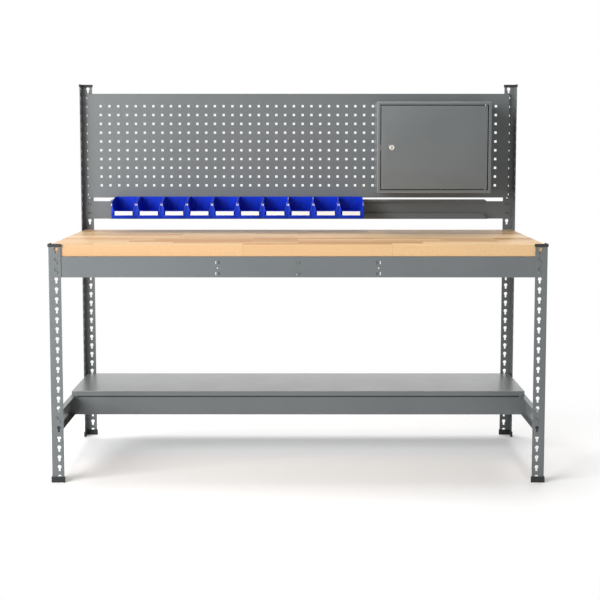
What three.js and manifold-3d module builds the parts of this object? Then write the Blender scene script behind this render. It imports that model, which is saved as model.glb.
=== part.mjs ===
// Workbench on slotted angle posts, with a half-depth shelf, a tool panel, a rail of bins and a cabinet.
// Millimetres. +Z is up, -Y is the front, and the origin is on the floor under the middle of the bench.
import * as THREE from 'three';
import { mergeVertices } from 'three/addons/utils/BufferGeometryUtils.js';
import Module from 'manifold-3d';

const wasm = await Module();
wasm.setup();

// Driving dimensions: the frame
const overallWidth = 1885;
const overallDepth = 775;
const benchHeight = 915;
const upperPostLength = 626.7;
const postFlange = 47;
const postGauge = 2;
const seat = 0.3;
const weld = 0.001;

// Driving dimensions: the keyholes in the posts, and the lugs that hang in them
const keyholePitch = 38.1;
const keyholeInset = 29;
const keyholeHead = 15;
const keyholeSlot = 8;
const keyholeHeight = 24;
const keyholeEndMargin = 14;
const keyholeShoulder = 1 / 3;
const keyholeCrown = 0.6;
const lowerFirstKeyhole = 20.7;
const upperFirstKeyhole = 20.5;
const lugClearance = 0.75;
const lugHeadClearance = 1.5;
const lugHeadThickness = 2;
const lugEdge = 9;

// Driving dimensions: feet, caps and splice plates
const footBase = 3;
const footSkirt = 16;
const footWall = 2.5;
const capBase = 3;
const capSkirt = 8;
const capWall = 2;
const spliceGauge = 2;
const spliceWidth = 30;
const spliceEnd = 12;

// Driving dimensions: beams, worktop and shelf
const beamWeb = 79;
const beamFlange = 20;
const beamGauge = 1.5;
const worktopThickness = 45;
const tieWidth = 40;
const tieHeight = 66;
const markSpacing = 304.8;
const markSpread = 40;
const markDrop = 4;
const markHole = 5;
const shelfHeight = 277;
const deckThickness = 20;
const deckDepth = 387;
const deckGauge = 1.2;
const deckSideGap = 7.5;
const deckRearGap = 1.5;
const deckLipReach = 2;
const deckTabWidth = 9;
const deckTabDrop = 11;
const endTabWidth = 42;
const hookTabWidth = 25;

// Driving dimensions: bin rail and bins
const railRise = 48;
const railHeight = 77;
const railGauge = 1.5;
const railReach = 21.5;
const railUpperLip = 9;
const railLowerLip = 25;
const railLipInset = 131.5;
const railLipSlope = 14;
const railLowerSlope = 22;
const railEnd = 14;
const binCount = 10;
const binPitch = 107;
const binGap = 1.6;
const binDepth = 165;
const binHeight = 86;
const binRise = 12;
const binWall = 2.2;
const binFrontHeight = 32;
const binSideHeight = 64;
const binSlopeRun = 110;
const binPillarFoot = 10;
const binPillarHead = 3;
const binInset = 19.5;
const hookDrop = 7;
const hookSlack = 0.6;
const hookSideInset = 6;
const labelWidth = 75;
const labelHeight = 16.5;
const labelThickness = 0.8;
const labelRise = 14.5;

// Driving dimensions: tool panel
const panelGap = 7;
const panelDrop = 36;
const panelSideInset = 27;
const panelFold = 13;
const panelGauge = 1.2;
const panelHole = 10;
const panelPitch = 38.1;
const panelMinMargin = 40;
const panelEarHeight = 20;
const panelEarKeyholes = [7, 10];

// Driving dimensions: cabinet, door and lock
const cabinetWidth = 477;
const cabinetDepth = 200;
const cabinetDrop = 40;
const cabinetRise = 29;
const cabinetSideInset = 106.25;
const cabinetGauge = 1.5;
const frameFlange = 12;
const frameReturn = 18;
const doorGap = 4;
const doorThickness = 16;
const doorGauge = 1.2;
const doorReturn = 14;
const doorSetback = 0.5;
const pivotInset = 8;
const pinRadius = 3;
const pinClearance = 0.3;
const pinHeadRadius = 5;
const pinHeadThickness = 2;
const pinReach = 6;
const hangerNeck = 8;
const hangerTip = 14;
const hangerGauge = 3;
const hangerInset = 20;
const lockInset = 44.4;
const bezelRadius = 11;
const bezelThickness = 2;
const barrelRadius = 9;
const boreRadius = 6;
const keySlotWidth = 1.6;
const keySlotLength = 8;
const keySlotDepth = 3;
const plugStubRadius = 4;
const plugHeadRadius = 6;
const plugHeadThickness = 2;
const nutWidth = 24;
const nutThickness = 4;
const camWidth = 14;
const camThickness = 2.5;
const camOverlap = 6;
const keeperHeight = 24;
const keeperWidth = 12;
const keeperThickness = 1;

// Finishes
const paint = { color: 0x6b7275, roughness: 0.45, metalness: 0.2 };
const blackPlastic = { color: 0x2a2c2d, roughness: 0.6, metalness: 0 };
const bluePlastic = { color: 0x0a2aa8, roughness: 0.35, metalness: 0 };
const beech = { color: 0xd9b184, roughness: 0.4, metalness: 0 };
const card = { color: 0xf4f4f2, roughness: 0.7, metalness: 0 };
const chrome = { color: 0xc8ccd0, roughness: 0.2, metalness: 1 };
const zinc = { color: 0xa9adb0, roughness: 0.35, metalness: 1 };

const bench = new THREE.Group();

// Points are set on a fine grid, so that faces which should lie in one plane do so exactly.
function toSolid(geometry) {
  geometry.deleteAttribute('normal');
  geometry.deleteAttribute('uv');
  const place = geometry.attributes.position.array;
  geometry.attributes.position.array = place.map((value) => Math.round(value / weld) * weld);
  const merged = mergeVertices(geometry, weld);
  const vertProperties = new Float32Array(merged.attributes.position.array);
  const triVerts = new Uint32Array(merged.index.array);
  return new wasm.Manifold(new wasm.Mesh({ numProp: 3, vertProperties, triVerts }));
}

// Points closer than the grid become one, and the triangles that this closes up are left out.
function toGeometry(solid) {
  const mesh = solid.simplify(weld).getMesh();
  const raw = new THREE.BufferGeometry();
  raw.setAttribute('position', new THREE.BufferAttribute(new Float32Array(mesh.vertProperties), 3));
  raw.setIndex(new THREE.BufferAttribute(new Uint32Array(mesh.triVerts), 1));
  const geometry = mergeVertices(raw, weld);
  const indices = Array.from(geometry.index.array);
  const kept = [];
  for (let first = 0; first < indices.length; first += 3) {
    const triangle = indices.slice(first, first + 3);
    if (new Set(triangle).size === 3) kept.push(...triangle);
  }
  geometry.setIndex(kept);
  geometry.computeVertexNormals();
  return geometry;
}

function fuse(...solids) {
  return solids.reduce((whole, next) => whole.add(next));
}

function cut(whole, ...tools) {
  return tools.reduce((left, tool) => left.subtract(tool), whole);
}

function addPart(parent, name, geometry, finish) {
  const mesh = new THREE.Mesh(geometry, new THREE.MeshStandardMaterial(finish));
  mesh.name = name;
  parent.add(mesh);
  return mesh;
}

// A box between two values on each axis, given in either order.
function box([xa, xb], [ya, yb], [za, zb]) {
  const geometry = new THREE.BoxGeometry(Math.abs(xb - xa), Math.abs(yb - ya), Math.abs(zb - za));
  geometry.translate((xa + xb) / 2, (ya + yb) / 2, (za + zb) / 2);
  return toSolid(geometry);
}

// A round bar of a few sides between two values on one axis, with its middle at the other two.
function bar(axis, [from, to], [u, v], radius, sides = 8) {
  const geometry = new THREE.CylinderGeometry(radius, radius, Math.abs(to - from), sides);
  const middle = (from + to) / 2;
  if (axis === 'x') {
    geometry.rotateZ(Math.PI / 2);
    geometry.translate(middle, u, v);
  } else if (axis === 'y') {
    geometry.translate(u, middle, v);
  } else {
    geometry.rotateX(Math.PI / 2);
    geometry.translate(u, v, middle);
  }
  return toSolid(geometry);
}

function outline(points) {
  return new THREE.Shape(points.map(([u, v]) => new THREE.Vector2(u, v)));
}

// An upright plate in the XZ plane, drawn in x and z, that starts at y and is thick towards +Y.
function facePlate(shape, y, thickness) {
  const geometry = new THREE.ExtrudeGeometry(shape, { depth: thickness, bevelEnabled: false });
  geometry.rotateX(Math.PI / 2);
  geometry.translate(0, y + thickness, 0);
  return geometry;
}

// An upright plate in the YZ plane, drawn in y and z, that starts at x and is thick towards +X.
function sidePlate(shape, x, thickness) {
  const geometry = new THREE.ExtrudeGeometry(shape, { depth: thickness, bevelEnabled: false });
  const turn = new THREE.Matrix4();
  turn.makeBasis(new THREE.Vector3(0, 1, 0), new THREE.Vector3(0, 0, 1), new THREE.Vector3(1, 0, 0));
  geometry.applyMatrix4(turn);
  geometry.translate(x, 0, 0);
  return geometry;
}

// Levels and faces that several pieces share
const halfWidth = overallWidth / 2;
const halfDepth = overallDepth / 2;
const sideInner = halfWidth - postGauge;
const faceInner = halfDepth - postGauge;
const lowerPostBottom = footBase + seat;
const upperPostBottom = benchHeight + seat;
const upperPostTop = upperPostBottom + upperPostLength;
const worktopBottom = benchHeight - worktopThickness;
const topBeamTop = worktopBottom - seat;
const shelfBeamTop = shelfHeight - deckThickness - seat;
const worktopGap = Math.max(capWall, spliceGauge) + 3 * seat;
const lugNeckRadius = keyholeSlot / 2 - lugClearance;
const lugHoleRadius = lugNeckRadius + lugClearance;
const lugHeadRadius = keyholeHead / 2 - lugHeadClearance;
const keyholeColumnX = halfWidth - keyholeInset;
const keyholeColumnY = halfDepth - keyholeInset;

// The heights of a post's keyholes, from its upper end down.
function keyholeLevels(bottom, top, first) {
  const levels = [];
  for (let z = top - first; z - keyholeEndMargin >= bottom; z -= keyholePitch) {
    levels.push(z);
  }
  return levels;
}

const lowerKeyholes = keyholeLevels(lowerPostBottom, benchHeight, lowerFirstKeyhole);
const upperKeyholes = keyholeLevels(upperPostBottom, upperPostTop, upperFirstKeyhole);

// A lug rests in the foot of its keyhole's slot.
function lugLevel(keyholeZ) {
  return keyholeZ - keyholeHeight / 2 + lugNeckRadius + seat;
}

function lugLevelsWithin(keyholes, bottom, top) {
  return keyholes.map(lugLevel).filter((z) => z > bottom + lugEdge && z < top - lugEdge);
}

// A lug that leaves a sheet at a face, passes through the wall in front of it and has its head beyond.
function lug(axis, face, direction, [u, v], wall) {
  const rooted = face - direction * seat;
  const headStart = face + direction * (wall + 2 * seat);
  const headEnd = headStart + direction * lugHeadThickness;
  const neck = bar(axis, [rooted, headStart + direction * seat], [u, v], lugNeckRadius, 6);
  return neck.add(bar(axis, [headStart, headEnd], [u, v], lugHeadRadius, 6));
}

// Posts: slotted angle with its outer corner on the Z axis and its flanges towards +X and +Y
function keyhole(u, z) {
  const head = keyholeHead / 2;
  const slot = keyholeSlot / 2;
  const half = keyholeHeight / 2;
  const right = [[slot, -half], [head, half * keyholeShoulder], [head * keyholeCrown, half]];
  const left = right.map(([du, dz]) => [-du, dz]).reverse();
  return outline([...right, ...left].map(([du, dz]) => [u + du, z + dz]));
}

function postGeometry(bottom, top, keyholes) {
  const flange = () => {
    const shape = outline([[0, bottom], [postFlange, bottom], [postFlange, top], [0, top]]);
    shape.holes = keyholes.map((z) => keyhole(keyholeInset, z));
    return shape;
  };
  const face = toSolid(facePlate(flange(), 0, postGauge));
  const side = toSolid(sidePlate(flange(), 0, postGauge));
  return toGeometry(face.add(side));
}

// The four corners, each with its quarter turn and its place.
const corners = {
  front_left: { turn: 0, x: -halfWidth, y: -halfDepth },
  front_right: { turn: Math.PI / 2, x: halfWidth, y: -halfDepth },
  rear_right: { turn: Math.PI, x: halfWidth, y: halfDepth },
  rear_left: { turn: -Math.PI / 2, x: -halfWidth, y: halfDepth },
};

function addAtCorner(corner, name, geometry, finish) {
  const mesh = addPart(bench, name, geometry, finish);
  mesh.position.set(corners[corner].x, corners[corner].y, 0);
  mesh.rotation.z = corners[corner].turn;
}

// The section of an angle post, grown by a margin on every side.
function angleOutline(margin) {
  const low = -margin;
  const inner = postGauge + margin;
  const high = postFlange + margin;
  return outline([[low, low], [high, low], [high, inner], [inner, inner], [inner, high], [low, high]]);
}

// A bar of that section between two levels, given in either order.
function angleBar(margin, from, to) {
  const depth = Math.abs(to - from);
  const geometry = new THREE.ExtrudeGeometry(angleOutline(margin), { depth, bevelEnabled: false });
  geometry.translate(0, 0, Math.min(from, to));
  return toSolid(geometry);
}

// An angle-shaped cup: a closed base between two levels and a skirt that goes on to a third.
function cupGeometry(baseFrom, baseTo, skirtEnd, wall) {
  const outer = angleBar(wall + seat, baseFrom, skirtEnd);
  const hollow = angleBar(seat, baseTo, 2 * skirtEnd - baseTo);
  return toGeometry(outer.subtract(hollow));
}

function capGeometry(postTop) {
  const underside = postTop + seat;
  return cupGeometry(underside + capBase, underside, postTop - capSkirt, capWall);
}

const lowerPost = postGeometry(lowerPostBottom, benchHeight, lowerKeyholes);
const upperPost = postGeometry(upperPostBottom, upperPostTop, upperKeyholes);
const foot = cupGeometry(0, footBase, footBase + footSkirt, footWall);
const benchCap = capGeometry(benchHeight);
const upperCap = capGeometry(upperPostTop);

for (const corner of Object.keys(corners)) {
  addAtCorner(corner, `${corner}_post`, lowerPost, paint);
  addAtCorner(corner, `${corner}_foot`, foot, blackPlastic);
  if (corner.startsWith('front')) {
    addAtCorner(corner, `${corner}_cap`, benchCap, blackPlastic);
  } else {
    addAtCorner(corner, `${corner}_upper_post`, upperPost, paint);
    addAtCorner(corner, `${corner}_upper_cap`, upperCap, blackPlastic);
  }
}

const sides = { left: -1, right: 1 };

// Splice plates: flat steel inside the rear posts' side flanges, hung in one keyhole of each post
const spliceOuter = sideInner - seat;
const lowerSpliceLug = lugLevel(lowerKeyholes[0]);
const upperSpliceLug = lugLevel(upperKeyholes[upperKeyholes.length - 1]);
for (const [name, side] of Object.entries(sides)) {
  const plate = box(
    [side * spliceOuter, side * (spliceOuter - spliceGauge)],
    [keyholeColumnY - spliceWidth / 2, keyholeColumnY + spliceWidth / 2],
    [worktopBottom, upperSpliceLug + spliceEnd],
  );
  const lugs = [lowerSpliceLug, upperSpliceLug].map(
    (z) => lug('x', side * spliceOuter, side, [keyholeColumnY, z], postGauge),
  );
  addPart(bench, `${name}_splice_plate`, toGeometry(fuse(plate, ...lugs)), paint);
}

// Beams: folded sheet with a web that stands inside the post flanges and a flange at the top, folded inwards
const webOuterX = sideInner - seat;
const webOuterY = faceInner - seat;
const webInnerX = webOuterX - beamGauge;
const webInnerY = webOuterY - beamGauge;
const flangeClearX = webOuterX - beamFlange - seat;

function longBeam(end, top) {
  const bottom = top - beamWeb;
  const web = box([-webOuterX, webOuterX], [end * webOuterY, end * webInnerY], [bottom, top]);
  const flange = box(
    [-flangeClearX, flangeClearX],
    [end * webOuterY, end * (webOuterY - beamFlange)],
    [top - beamGauge, top],
  );
  const lugs = [];
  for (const z of lugLevelsWithin(lowerKeyholes, bottom, top)) {
    lugs.push(lug('y', end * webOuterY, end, [-keyholeColumnX, z], postGauge));
    lugs.push(lug('y', end * webOuterY, end, [keyholeColumnX, z], postGauge));
  }
  return fuse(web, flange, ...lugs);
}

function sideBeam(side, top, front, rear) {
  const bottom = top - beamWeb;
  const web = box([side * webOuterX, side * webInnerX], [front, rear], [bottom, top]);
  const flange = box(
    [side * webOuterX, side * (webOuterX - beamFlange)],
    [front, rear],
    [top - beamGauge, top],
  );
  return web.add(flange);
}

function sideLugs(side, top, y) {
  const levels = lugLevelsWithin(lowerKeyholes, top - beamWeb, top);
  return levels.map((z) => lug('x', side * webOuterX, side, [y, z], postGauge));
}

// Top frame: four beams and a tie bar across the middle
const sideBeamEnd = webInnerY - seat;
const markMiddle = topBeamTop - beamWeb / 2 - markDrop;
const tieLugLevels = [markMiddle - markSpread / 2, markMiddle + markSpread / 2];

function tieHoles(end) {
  const through = [end * (webOuterY + seat), end * (webInnerY - seat)];
  return tieLugLevels.map((z) => bar('y', through, [0, z], lugHoleRadius));
}

function markHoles(end) {
  const through = [end * (webOuterY + seat), end * (webInnerY - seat)];
  return [-markSpacing, 0, markSpacing].map((x) => bar('y', through, [x, markMiddle], markHole / 2));
}

const frontTopBeam = cut(longBeam(-1, topBeamTop), ...tieHoles(-1), ...markHoles(-1));
const rearTopBeam = cut(longBeam(1, topBeamTop), ...tieHoles(1), ...markHoles(1));
addPart(bench, 'front_top_beam', toGeometry(frontTopBeam), paint);
addPart(bench, 'rear_top_beam', toGeometry(rearTopBeam), paint);

for (const [name, side] of Object.entries(sides)) {
  const beam = sideBeam(side, topBeamTop, -sideBeamEnd, sideBeamEnd);
  const frontLugs = sideLugs(side, topBeamTop, -keyholeColumnY);
  const rearLugs = sideLugs(side, topBeamTop, keyholeColumnY);
  addPart(bench, `${name}_top_beam`, toGeometry(fuse(beam, ...frontLugs, ...rearLugs)), paint);
}

const tieTop = topBeamTop - beamGauge - seat;
const tieOuter = box(
  [-tieWidth / 2, tieWidth / 2],
  [-sideBeamEnd, sideBeamEnd],
  [tieTop - tieHeight, tieTop],
);
const tieHollow = box(
  [beamGauge - tieWidth / 2, tieWidth / 2 - beamGauge],
  [beamGauge - sideBeamEnd, sideBeamEnd - beamGauge],
  [tieTop - 2 * tieHeight, tieTop - beamGauge],
);
const tieLugs = [];
for (const z of tieLugLevels) {
  tieLugs.push(lug('y', -sideBeamEnd, -1, [0, z], beamGauge));
  tieLugs.push(lug('y', sideBeamEnd, 1, [0, z], beamGauge));
}
addPart(bench, 'centre_tie_bar', toGeometry(fuse(tieOuter.subtract(tieHollow), ...tieLugs)), paint);

// Worktop: a laminated board that lies on the beams between the posts
const worktopHalfX = sideInner - worktopGap;
const worktopHalfY = faceInner - worktopGap;
const worktop = box(
  [-worktopHalfX, worktopHalfX],
  [-worktopHalfY, worktopHalfY],
  [worktopBottom, benchHeight],
);
addPart(bench, 'worktop', toGeometry(worktop), beech);

// Lower shelf: two end beams, a rear beam, a front beam hung between the end beams, and a folded deck
const deckRear = faceInner - deckRearGap;
const deckFront = deckRear - deckDepth;
const deckBottom = shelfHeight - deckThickness;
const shelfFrontY = deckFront + deckLipReach;
const shelfWebBottom = shelfBeamTop - beamWeb;
const underFlange = shelfBeamTop - beamGauge - seat;
const hookColumnY = shelfFrontY + hookTabWidth / 2;
const hookMiddle = (shelfWebBottom + underFlange) / 2;
const hookLevels = [hookMiddle - keyholePitch / 2, hookMiddle + keyholePitch / 2];

for (const [name, side] of Object.entries(sides)) {
  const beam = sideBeam(side, shelfBeamTop, -webOuterY, sideBeamEnd);
  const tab = box(
    [side * webOuterX, side * (webOuterX - endTabWidth)],
    [-webOuterY, -webInnerY],
    [shelfWebBottom, shelfBeamTop],
  );
  const frontLevels = lugLevelsWithin(lowerKeyholes, shelfWebBottom, shelfBeamTop).slice(0, 1);
  const frontLugs = frontLevels.map((z) => lug('y', -webOuterY, -1, [side * keyholeColumnX, z], postGauge));
  const rearLugs = sideLugs(side, shelfBeamTop, keyholeColumnY);
  const through = [side * (webOuterX + seat), side * (webInnerX - seat)];
  const hookHoles = hookLevels.map((z) => bar('x', through, [hookColumnY, z], lugHoleRadius));
  const whole = cut(fuse(beam, tab, ...frontLugs, ...rearLugs), ...hookHoles);
  addPart(bench, `${name}_shelf_end_beam`, toGeometry(whole), paint);
}

addPart(bench, 'rear_shelf_beam', toGeometry(longBeam(1, shelfBeamTop)), paint);

const shelfWebEnd = webInnerX - seat;
const shelfFrontWeb = fuse(
  box([-flangeClearX, flangeClearX], [shelfFrontY, shelfFrontY + beamGauge], [shelfWebBottom, shelfBeamTop]),
  box([-shelfWebEnd, shelfWebEnd], [shelfFrontY, shelfFrontY + beamGauge], [shelfWebBottom, underFlange]),
  box(
    [-flangeClearX, flangeClearX],
    [shelfFrontY, shelfFrontY + beamFlange],
    [shelfBeamTop - beamGauge, shelfBeamTop],
  ),
);
const shelfHooks = [];
for (const side of Object.values(sides)) {
  const tab = box(
    [side * shelfWebEnd, side * (shelfWebEnd - beamGauge)],
    [shelfFrontY, shelfFrontY + hookTabWidth],
    [shelfWebBottom, underFlange],
  );
  shelfHooks.push(tab);
  for (const z of hookLevels) {
    shelfHooks.push(lug('x', side * shelfWebEnd, side, [hookColumnY, z], beamGauge));
  }
}
addPart(bench, 'front_shelf_beam', toGeometry(fuse(shelfFrontWeb, ...shelfHooks)), paint);

const deckHalf = sideInner - deckSideGap;
const deckOuter = box([-deckHalf, deckHalf], [deckFront, deckRear], [deckBottom, shelfHeight]);
const deckHollow = box(
  [deckGauge - deckHalf, deckHalf - deckGauge],
  [deckFront + deckGauge, deckRear - deckGauge],
  [deckBottom - deckThickness, shelfHeight - deckGauge],
);
const deckTabs = Object.values(sides).map((side) => box(
  [side * flangeClearX, side * (flangeClearX - deckTabWidth)],
  [deckFront, deckFront + deckGauge],
  [deckBottom - deckTabDrop, shelfHeight - deckGauge],
));
addPart(bench, 'shelf_deck', toGeometry(fuse(deckOuter.subtract(deckHollow), ...deckTabs)), paint);

// Bin rail: a channel on the upper posts with a lip at its lower front edge, and a strip as its upper lip
const railBottom = benchHeight + railRise;
const railTop = railBottom + railHeight;
const railLipTop = railTop + railUpperLip;
const railBack = faceInner - seat;
const railFace = railBack - railReach;
const railLipHalf = halfWidth - railLipInset;
const railFootHalf = railLipHalf + railLipSlope;
const railWebHalf = keyholeColumnX + railEnd;

function railLip(bottom, top, slope) {
  const topHalf = railFootHalf - slope;
  const points = [[-railFootHalf, bottom], [railFootHalf, bottom], [topHalf, top], [-topHalf, top]];
  return toSolid(facePlate(outline(points), railFace, railGauge));
}

function railShelf(bottom) {
  return box([-railFootHalf, railFootHalf], [railFace, railBack], [bottom, bottom + railGauge]);
}

const railLugs = [];
for (const z of lugLevelsWithin(upperKeyholes, railBottom, railTop)) {
  railLugs.push(lug('y', railBack, 1, [-keyholeColumnX, z], postGauge));
  railLugs.push(lug('y', railBack, 1, [keyholeColumnX, z], postGauge));
}
const binRail = fuse(
  box([-railWebHalf, railWebHalf], [railBack, railBack - railGauge], [railBottom, railTop]),
  railShelf(railTop - railGauge),
  railShelf(railBottom),
  railLip(railBottom, railBottom + railLowerLip, railLowerSlope),
  ...railLugs,
);
addPart(bench, 'bin_rail', toGeometry(binRail), paint);
addPart(bench, 'rail_upper_lip', toGeometry(railLip(railTop + seat, railLipTop, railLipSlope)), paint);

// Bins: trays with a low front between two pillars, which hang by a hook over the rail's upper lip
const binWidth = binPitch - binGap;
const binBack = railFace - seat;
const binFront = binBack - binDepth;
const binBottom = railBottom + binRise;
const binTop = binBottom + binHeight;
const binHookBottom = railLipTop + seat;
const binHookBack = railFace + railGauge + hookSlack + binWall;

function binProfile(inset, bottom, top, frontTop) {
  const front = binFront + inset;
  const back = binBack - inset;
  const lip = front + binSlopeRun;
  return outline([[front, bottom], [back, bottom], [back, top], [lip, top], [front, frontTop]]);
}

// The opening over the low front wall, wider at the top than at the wall.
function binMouth(above) {
  const lip = binBottom + binFrontHeight;
  const shoulder = binBottom + binSideHeight;
  const foot = binWidth - binPillarFoot;
  const head = binWidth - binPillarHead;
  const right = [[foot, lip], [head, shoulder], [head, above]];
  const left = [[binPillarHead, above], [binPillarHead, shoulder], [binPillarFoot, lip]];
  return toSolid(facePlate(outline([...right, ...left]), binFront - binWall, 2 * binWall));
}

function binSolid() {
  const outer = toSolid(sidePlate(binProfile(0, binBottom, binTop, binBottom + binSideHeight), 0, binWidth));
  const above = binTop + binHeight;
  const room = binProfile(binWall, binBottom + binWall, above, above);
  const hollow = toSolid(sidePlate(room, binWall, binWidth - 2 * binWall));
  const hookSpan = [hookSideInset, binWidth - hookSideInset];
  const ledge = box(hookSpan, [binBack - binWall, binHookBack], [binHookBottom, binHookBottom + binWall]);
  const legSpan = [railLipTop - hookDrop, binHookBottom + binWall];
  const leg = box(hookSpan, [binHookBack - binWall, binHookBack], legSpan);
  return fuse(cut(outer, hollow, binMouth(above)), ledge, leg);
}

const binGeometry = toGeometry(binSolid());
const labelBottom = binBottom + labelRise;
const labelFace = binFront - seat - labelThickness;
const labelGeometry = toGeometry(box(
  [(binWidth - labelWidth) / 2, (binWidth + labelWidth) / 2],
  [labelFace, labelFace + labelThickness],
  [labelBottom, labelBottom + labelHeight],
));
for (let i = 0; i < binCount; i += 1) {
  const place = new THREE.Group();
  const number = String(i + 1).padStart(2, '0');
  place.position.x = -railLipHalf + binInset + i * binPitch;
  addPart(place, `bin_${number}`, binGeometry, bluePlastic);
  addPart(place, `bin_label_${number}`, labelGeometry, card);
  bench.add(place);
}

// Tool panel: perforated sheet with edges folded back, and ears that hang in the upper posts
const panelBack = faceInner - seat;
const panelFace = panelBack - panelFold;
const panelBottom = railLipTop + panelGap;
const panelTop = upperPostTop - panelDrop;
const panelHalf = halfWidth - panelSideInset;

// The middles of as many holes as fit between two edges, spread evenly about the middle.
function holeCentres(low, high) {
  const count = Math.floor((high - low - 2 * panelMinMargin) / panelPitch) + 1;
  const first = (low + high - (count - 1) * panelPitch) / 2;
  return Array.from({ length: count }, (unused, i) => first + i * panelPitch);
}

const holeColumns = holeCentres(-panelHalf, panelHalf);
const holeRows = holeCentres(panelBottom, panelTop);

function squareHole(x, z) {
  const half = panelHole / 2;
  const through = [panelFace - panelGauge, panelFace + 2 * panelGauge];
  return box([x - half, x + half], through, [z - half, z + half]);
}

const panelPan = cut(
  box([-panelHalf, panelHalf], [panelFace, panelBack], [panelBottom, panelTop]),
  box(
    [panelGauge - panelHalf, panelHalf - panelGauge],
    [panelFace + panelGauge, panelBack + panelFold],
    [panelBottom + panelGauge, panelTop - panelGauge],
  ),
);
const panelHoles = holeColumns.flatMap((x) => holeRows.map((z) => squareHole(x, z)));
const panelEars = [];
for (const side of Object.values(sides)) {
  for (const index of panelEarKeyholes) {
    const z = lugLevel(upperKeyholes[index]);
    const ear = box(
      [side * (keyholeColumnX - lugHeadRadius), side * (keyholeColumnX + lugHeadRadius)],
      [panelBack - panelGauge, panelBack],
      [z - panelEarHeight / 2, z + panelEarHeight / 2],
    );
    panelEars.push(ear.add(lug('y', panelBack, 1, [side * keyholeColumnX, z], postGauge)));
  }
}
addPart(bench, 'tool_panel', toGeometry(fuse(cut(panelPan, ...panelHoles), ...panelEars)), paint);

// Cabinet shell: a folded steel box with a front frame whose inner edge turns back round the door
const cabinetBack = panelFace - seat;
const cabinetFront = cabinetBack - cabinetDepth;
const cabinetRight = panelHalf - cabinetSideInset;
const cabinetLeft = cabinetRight - cabinetWidth;
const cabinetTop = panelTop - cabinetDrop;
const cabinetBottom = panelBottom + cabinetRise;
const openLeft = cabinetLeft + frameFlange;
const openRight = cabinetRight - frameFlange;
const openBottom = cabinetBottom + frameFlange;
const openTop = cabinetTop - frameFlange;
const pivotX = openRight - doorGap - pivotInset;
const doorFront = cabinetFront + doorSetback;
const doorBack = doorFront + doorThickness;
const pivotY = doorFront + doorThickness / 2;

// A hanger goes through a hole of the panel, rests on its lower edge and turns down behind it.
function hanger(x, z) {
  const neckBottom = z - panelHole / 2 + seat;
  const behind = panelFace + panelGauge + seat;
  const span = [x - hangerNeck / 2, x + hangerNeck / 2];
  const neckTop = neckBottom + hangerNeck;
  const neck = box(span, [cabinetBack - cabinetGauge, behind + hangerGauge], [neckBottom, neckTop]);
  const tip = box(span, [behind, behind + hangerGauge], [neckBottom - hangerTip, neckTop]);
  return neck.add(tip);
}

function within(values, low, high) {
  const inside = values.filter((value) => value > low && value < high);
  return [inside[0], inside[inside.length - 1]];
}

const hangers = [];
for (const x of within(holeColumns, cabinetLeft + hangerInset, cabinetRight - hangerInset)) {
  for (const z of within(holeRows, cabinetBottom + hangerInset, cabinetTop - hangerInset)) {
    hangers.push(hanger(x, z));
  }
}
const cabinetBox = cut(
  box([cabinetLeft, cabinetRight], [cabinetFront, cabinetBack], [cabinetBottom, cabinetTop]),
  box(
    [cabinetLeft + cabinetGauge, cabinetRight - cabinetGauge],
    [cabinetFront + cabinetGauge, cabinetBack - cabinetGauge],
    [cabinetBottom + cabinetGauge, cabinetTop - cabinetGauge],
  ),
);
const frameLip = box(
  [openLeft - cabinetGauge, openRight + cabinetGauge],
  [cabinetFront, cabinetFront + frameReturn],
  [openBottom - cabinetGauge, openTop + cabinetGauge],
);
const doorway = box(
  [openLeft, openRight],
  [cabinetFront - frameReturn, cabinetFront + 2 * frameReturn],
  [openBottom, openTop],
);
const pinHoles = [openBottom, openTop].map(
  (z) => bar('z', [z - 2 * cabinetGauge, z + 2 * cabinetGauge], [pivotX, pivotY], pinRadius + pinClearance),
);
const cabinetShell = cut(fuse(cabinetBox, frameLip, ...hangers), doorway, ...pinHoles);
addPart(bench, 'cabinet_shell', toGeometry(cabinetShell), paint);

// Door: a folded pan with inner returns, bored for its pins and its lock
const doorLeft = openLeft + doorGap;
const doorRight = openRight - doorGap;
const doorBottom = openBottom + doorGap;
const doorTop = openTop - doorGap;
const lockX = doorLeft + lockInset;
const lockZ = (doorBottom + doorTop) / 2;
const doorHollow = box(
  [doorLeft + doorGauge, doorRight - doorGauge],
  [doorFront + doorGauge, doorBack - doorGauge],
  [doorBottom + doorGauge, doorTop - doorGauge],
);
const doorWindow = box(
  [doorLeft + doorReturn, doorRight - doorReturn],
  [doorFront + doorGauge, doorBack + doorThickness],
  [doorBottom + doorReturn, doorTop - doorReturn],
);
const doorPinHoles = [doorBottom, doorTop].map(
  (z) => bar('z', [z - 2 * doorGauge, z + 2 * doorGauge], [pivotX, pivotY], pinRadius + pinClearance),
);
const lockSkin = [doorFront - bezelThickness, doorFront + 2 * doorGauge];
const lockHole = bar('y', lockSkin, [lockX, lockZ], barrelRadius + seat, 16);
const door = cut(
  box([doorLeft, doorRight], [doorFront, doorBack], [doorBottom, doorTop]),
  doorHollow,
  doorWindow,
  ...doorPinHoles,
  lockHole,
);
addPart(bench, 'cabinet_door', toGeometry(door), paint);

// Hinge pins: each has its head beyond the frame's lip and its end inside the door
function hingePin(lipFace, away) {
  const headStart = lipFace + away * (cabinetGauge + seat);
  const headEnd = headStart + away * pinHeadThickness;
  const end = lipFace - away * (doorGap + doorGauge + pinReach);
  const shaft = bar('z', [end, headEnd], [pivotX, pivotY], pinRadius, 12);
  return shaft.add(bar('z', [headStart, headEnd], [pivotX, pivotY], pinHeadRadius, 12));
}

addPart(bench, 'upper_hinge_pin', toGeometry(hingePin(openTop, 1)), zinc);
addPart(bench, 'lower_hinge_pin', toGeometry(hingePin(openBottom, -1)), zinc);

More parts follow.
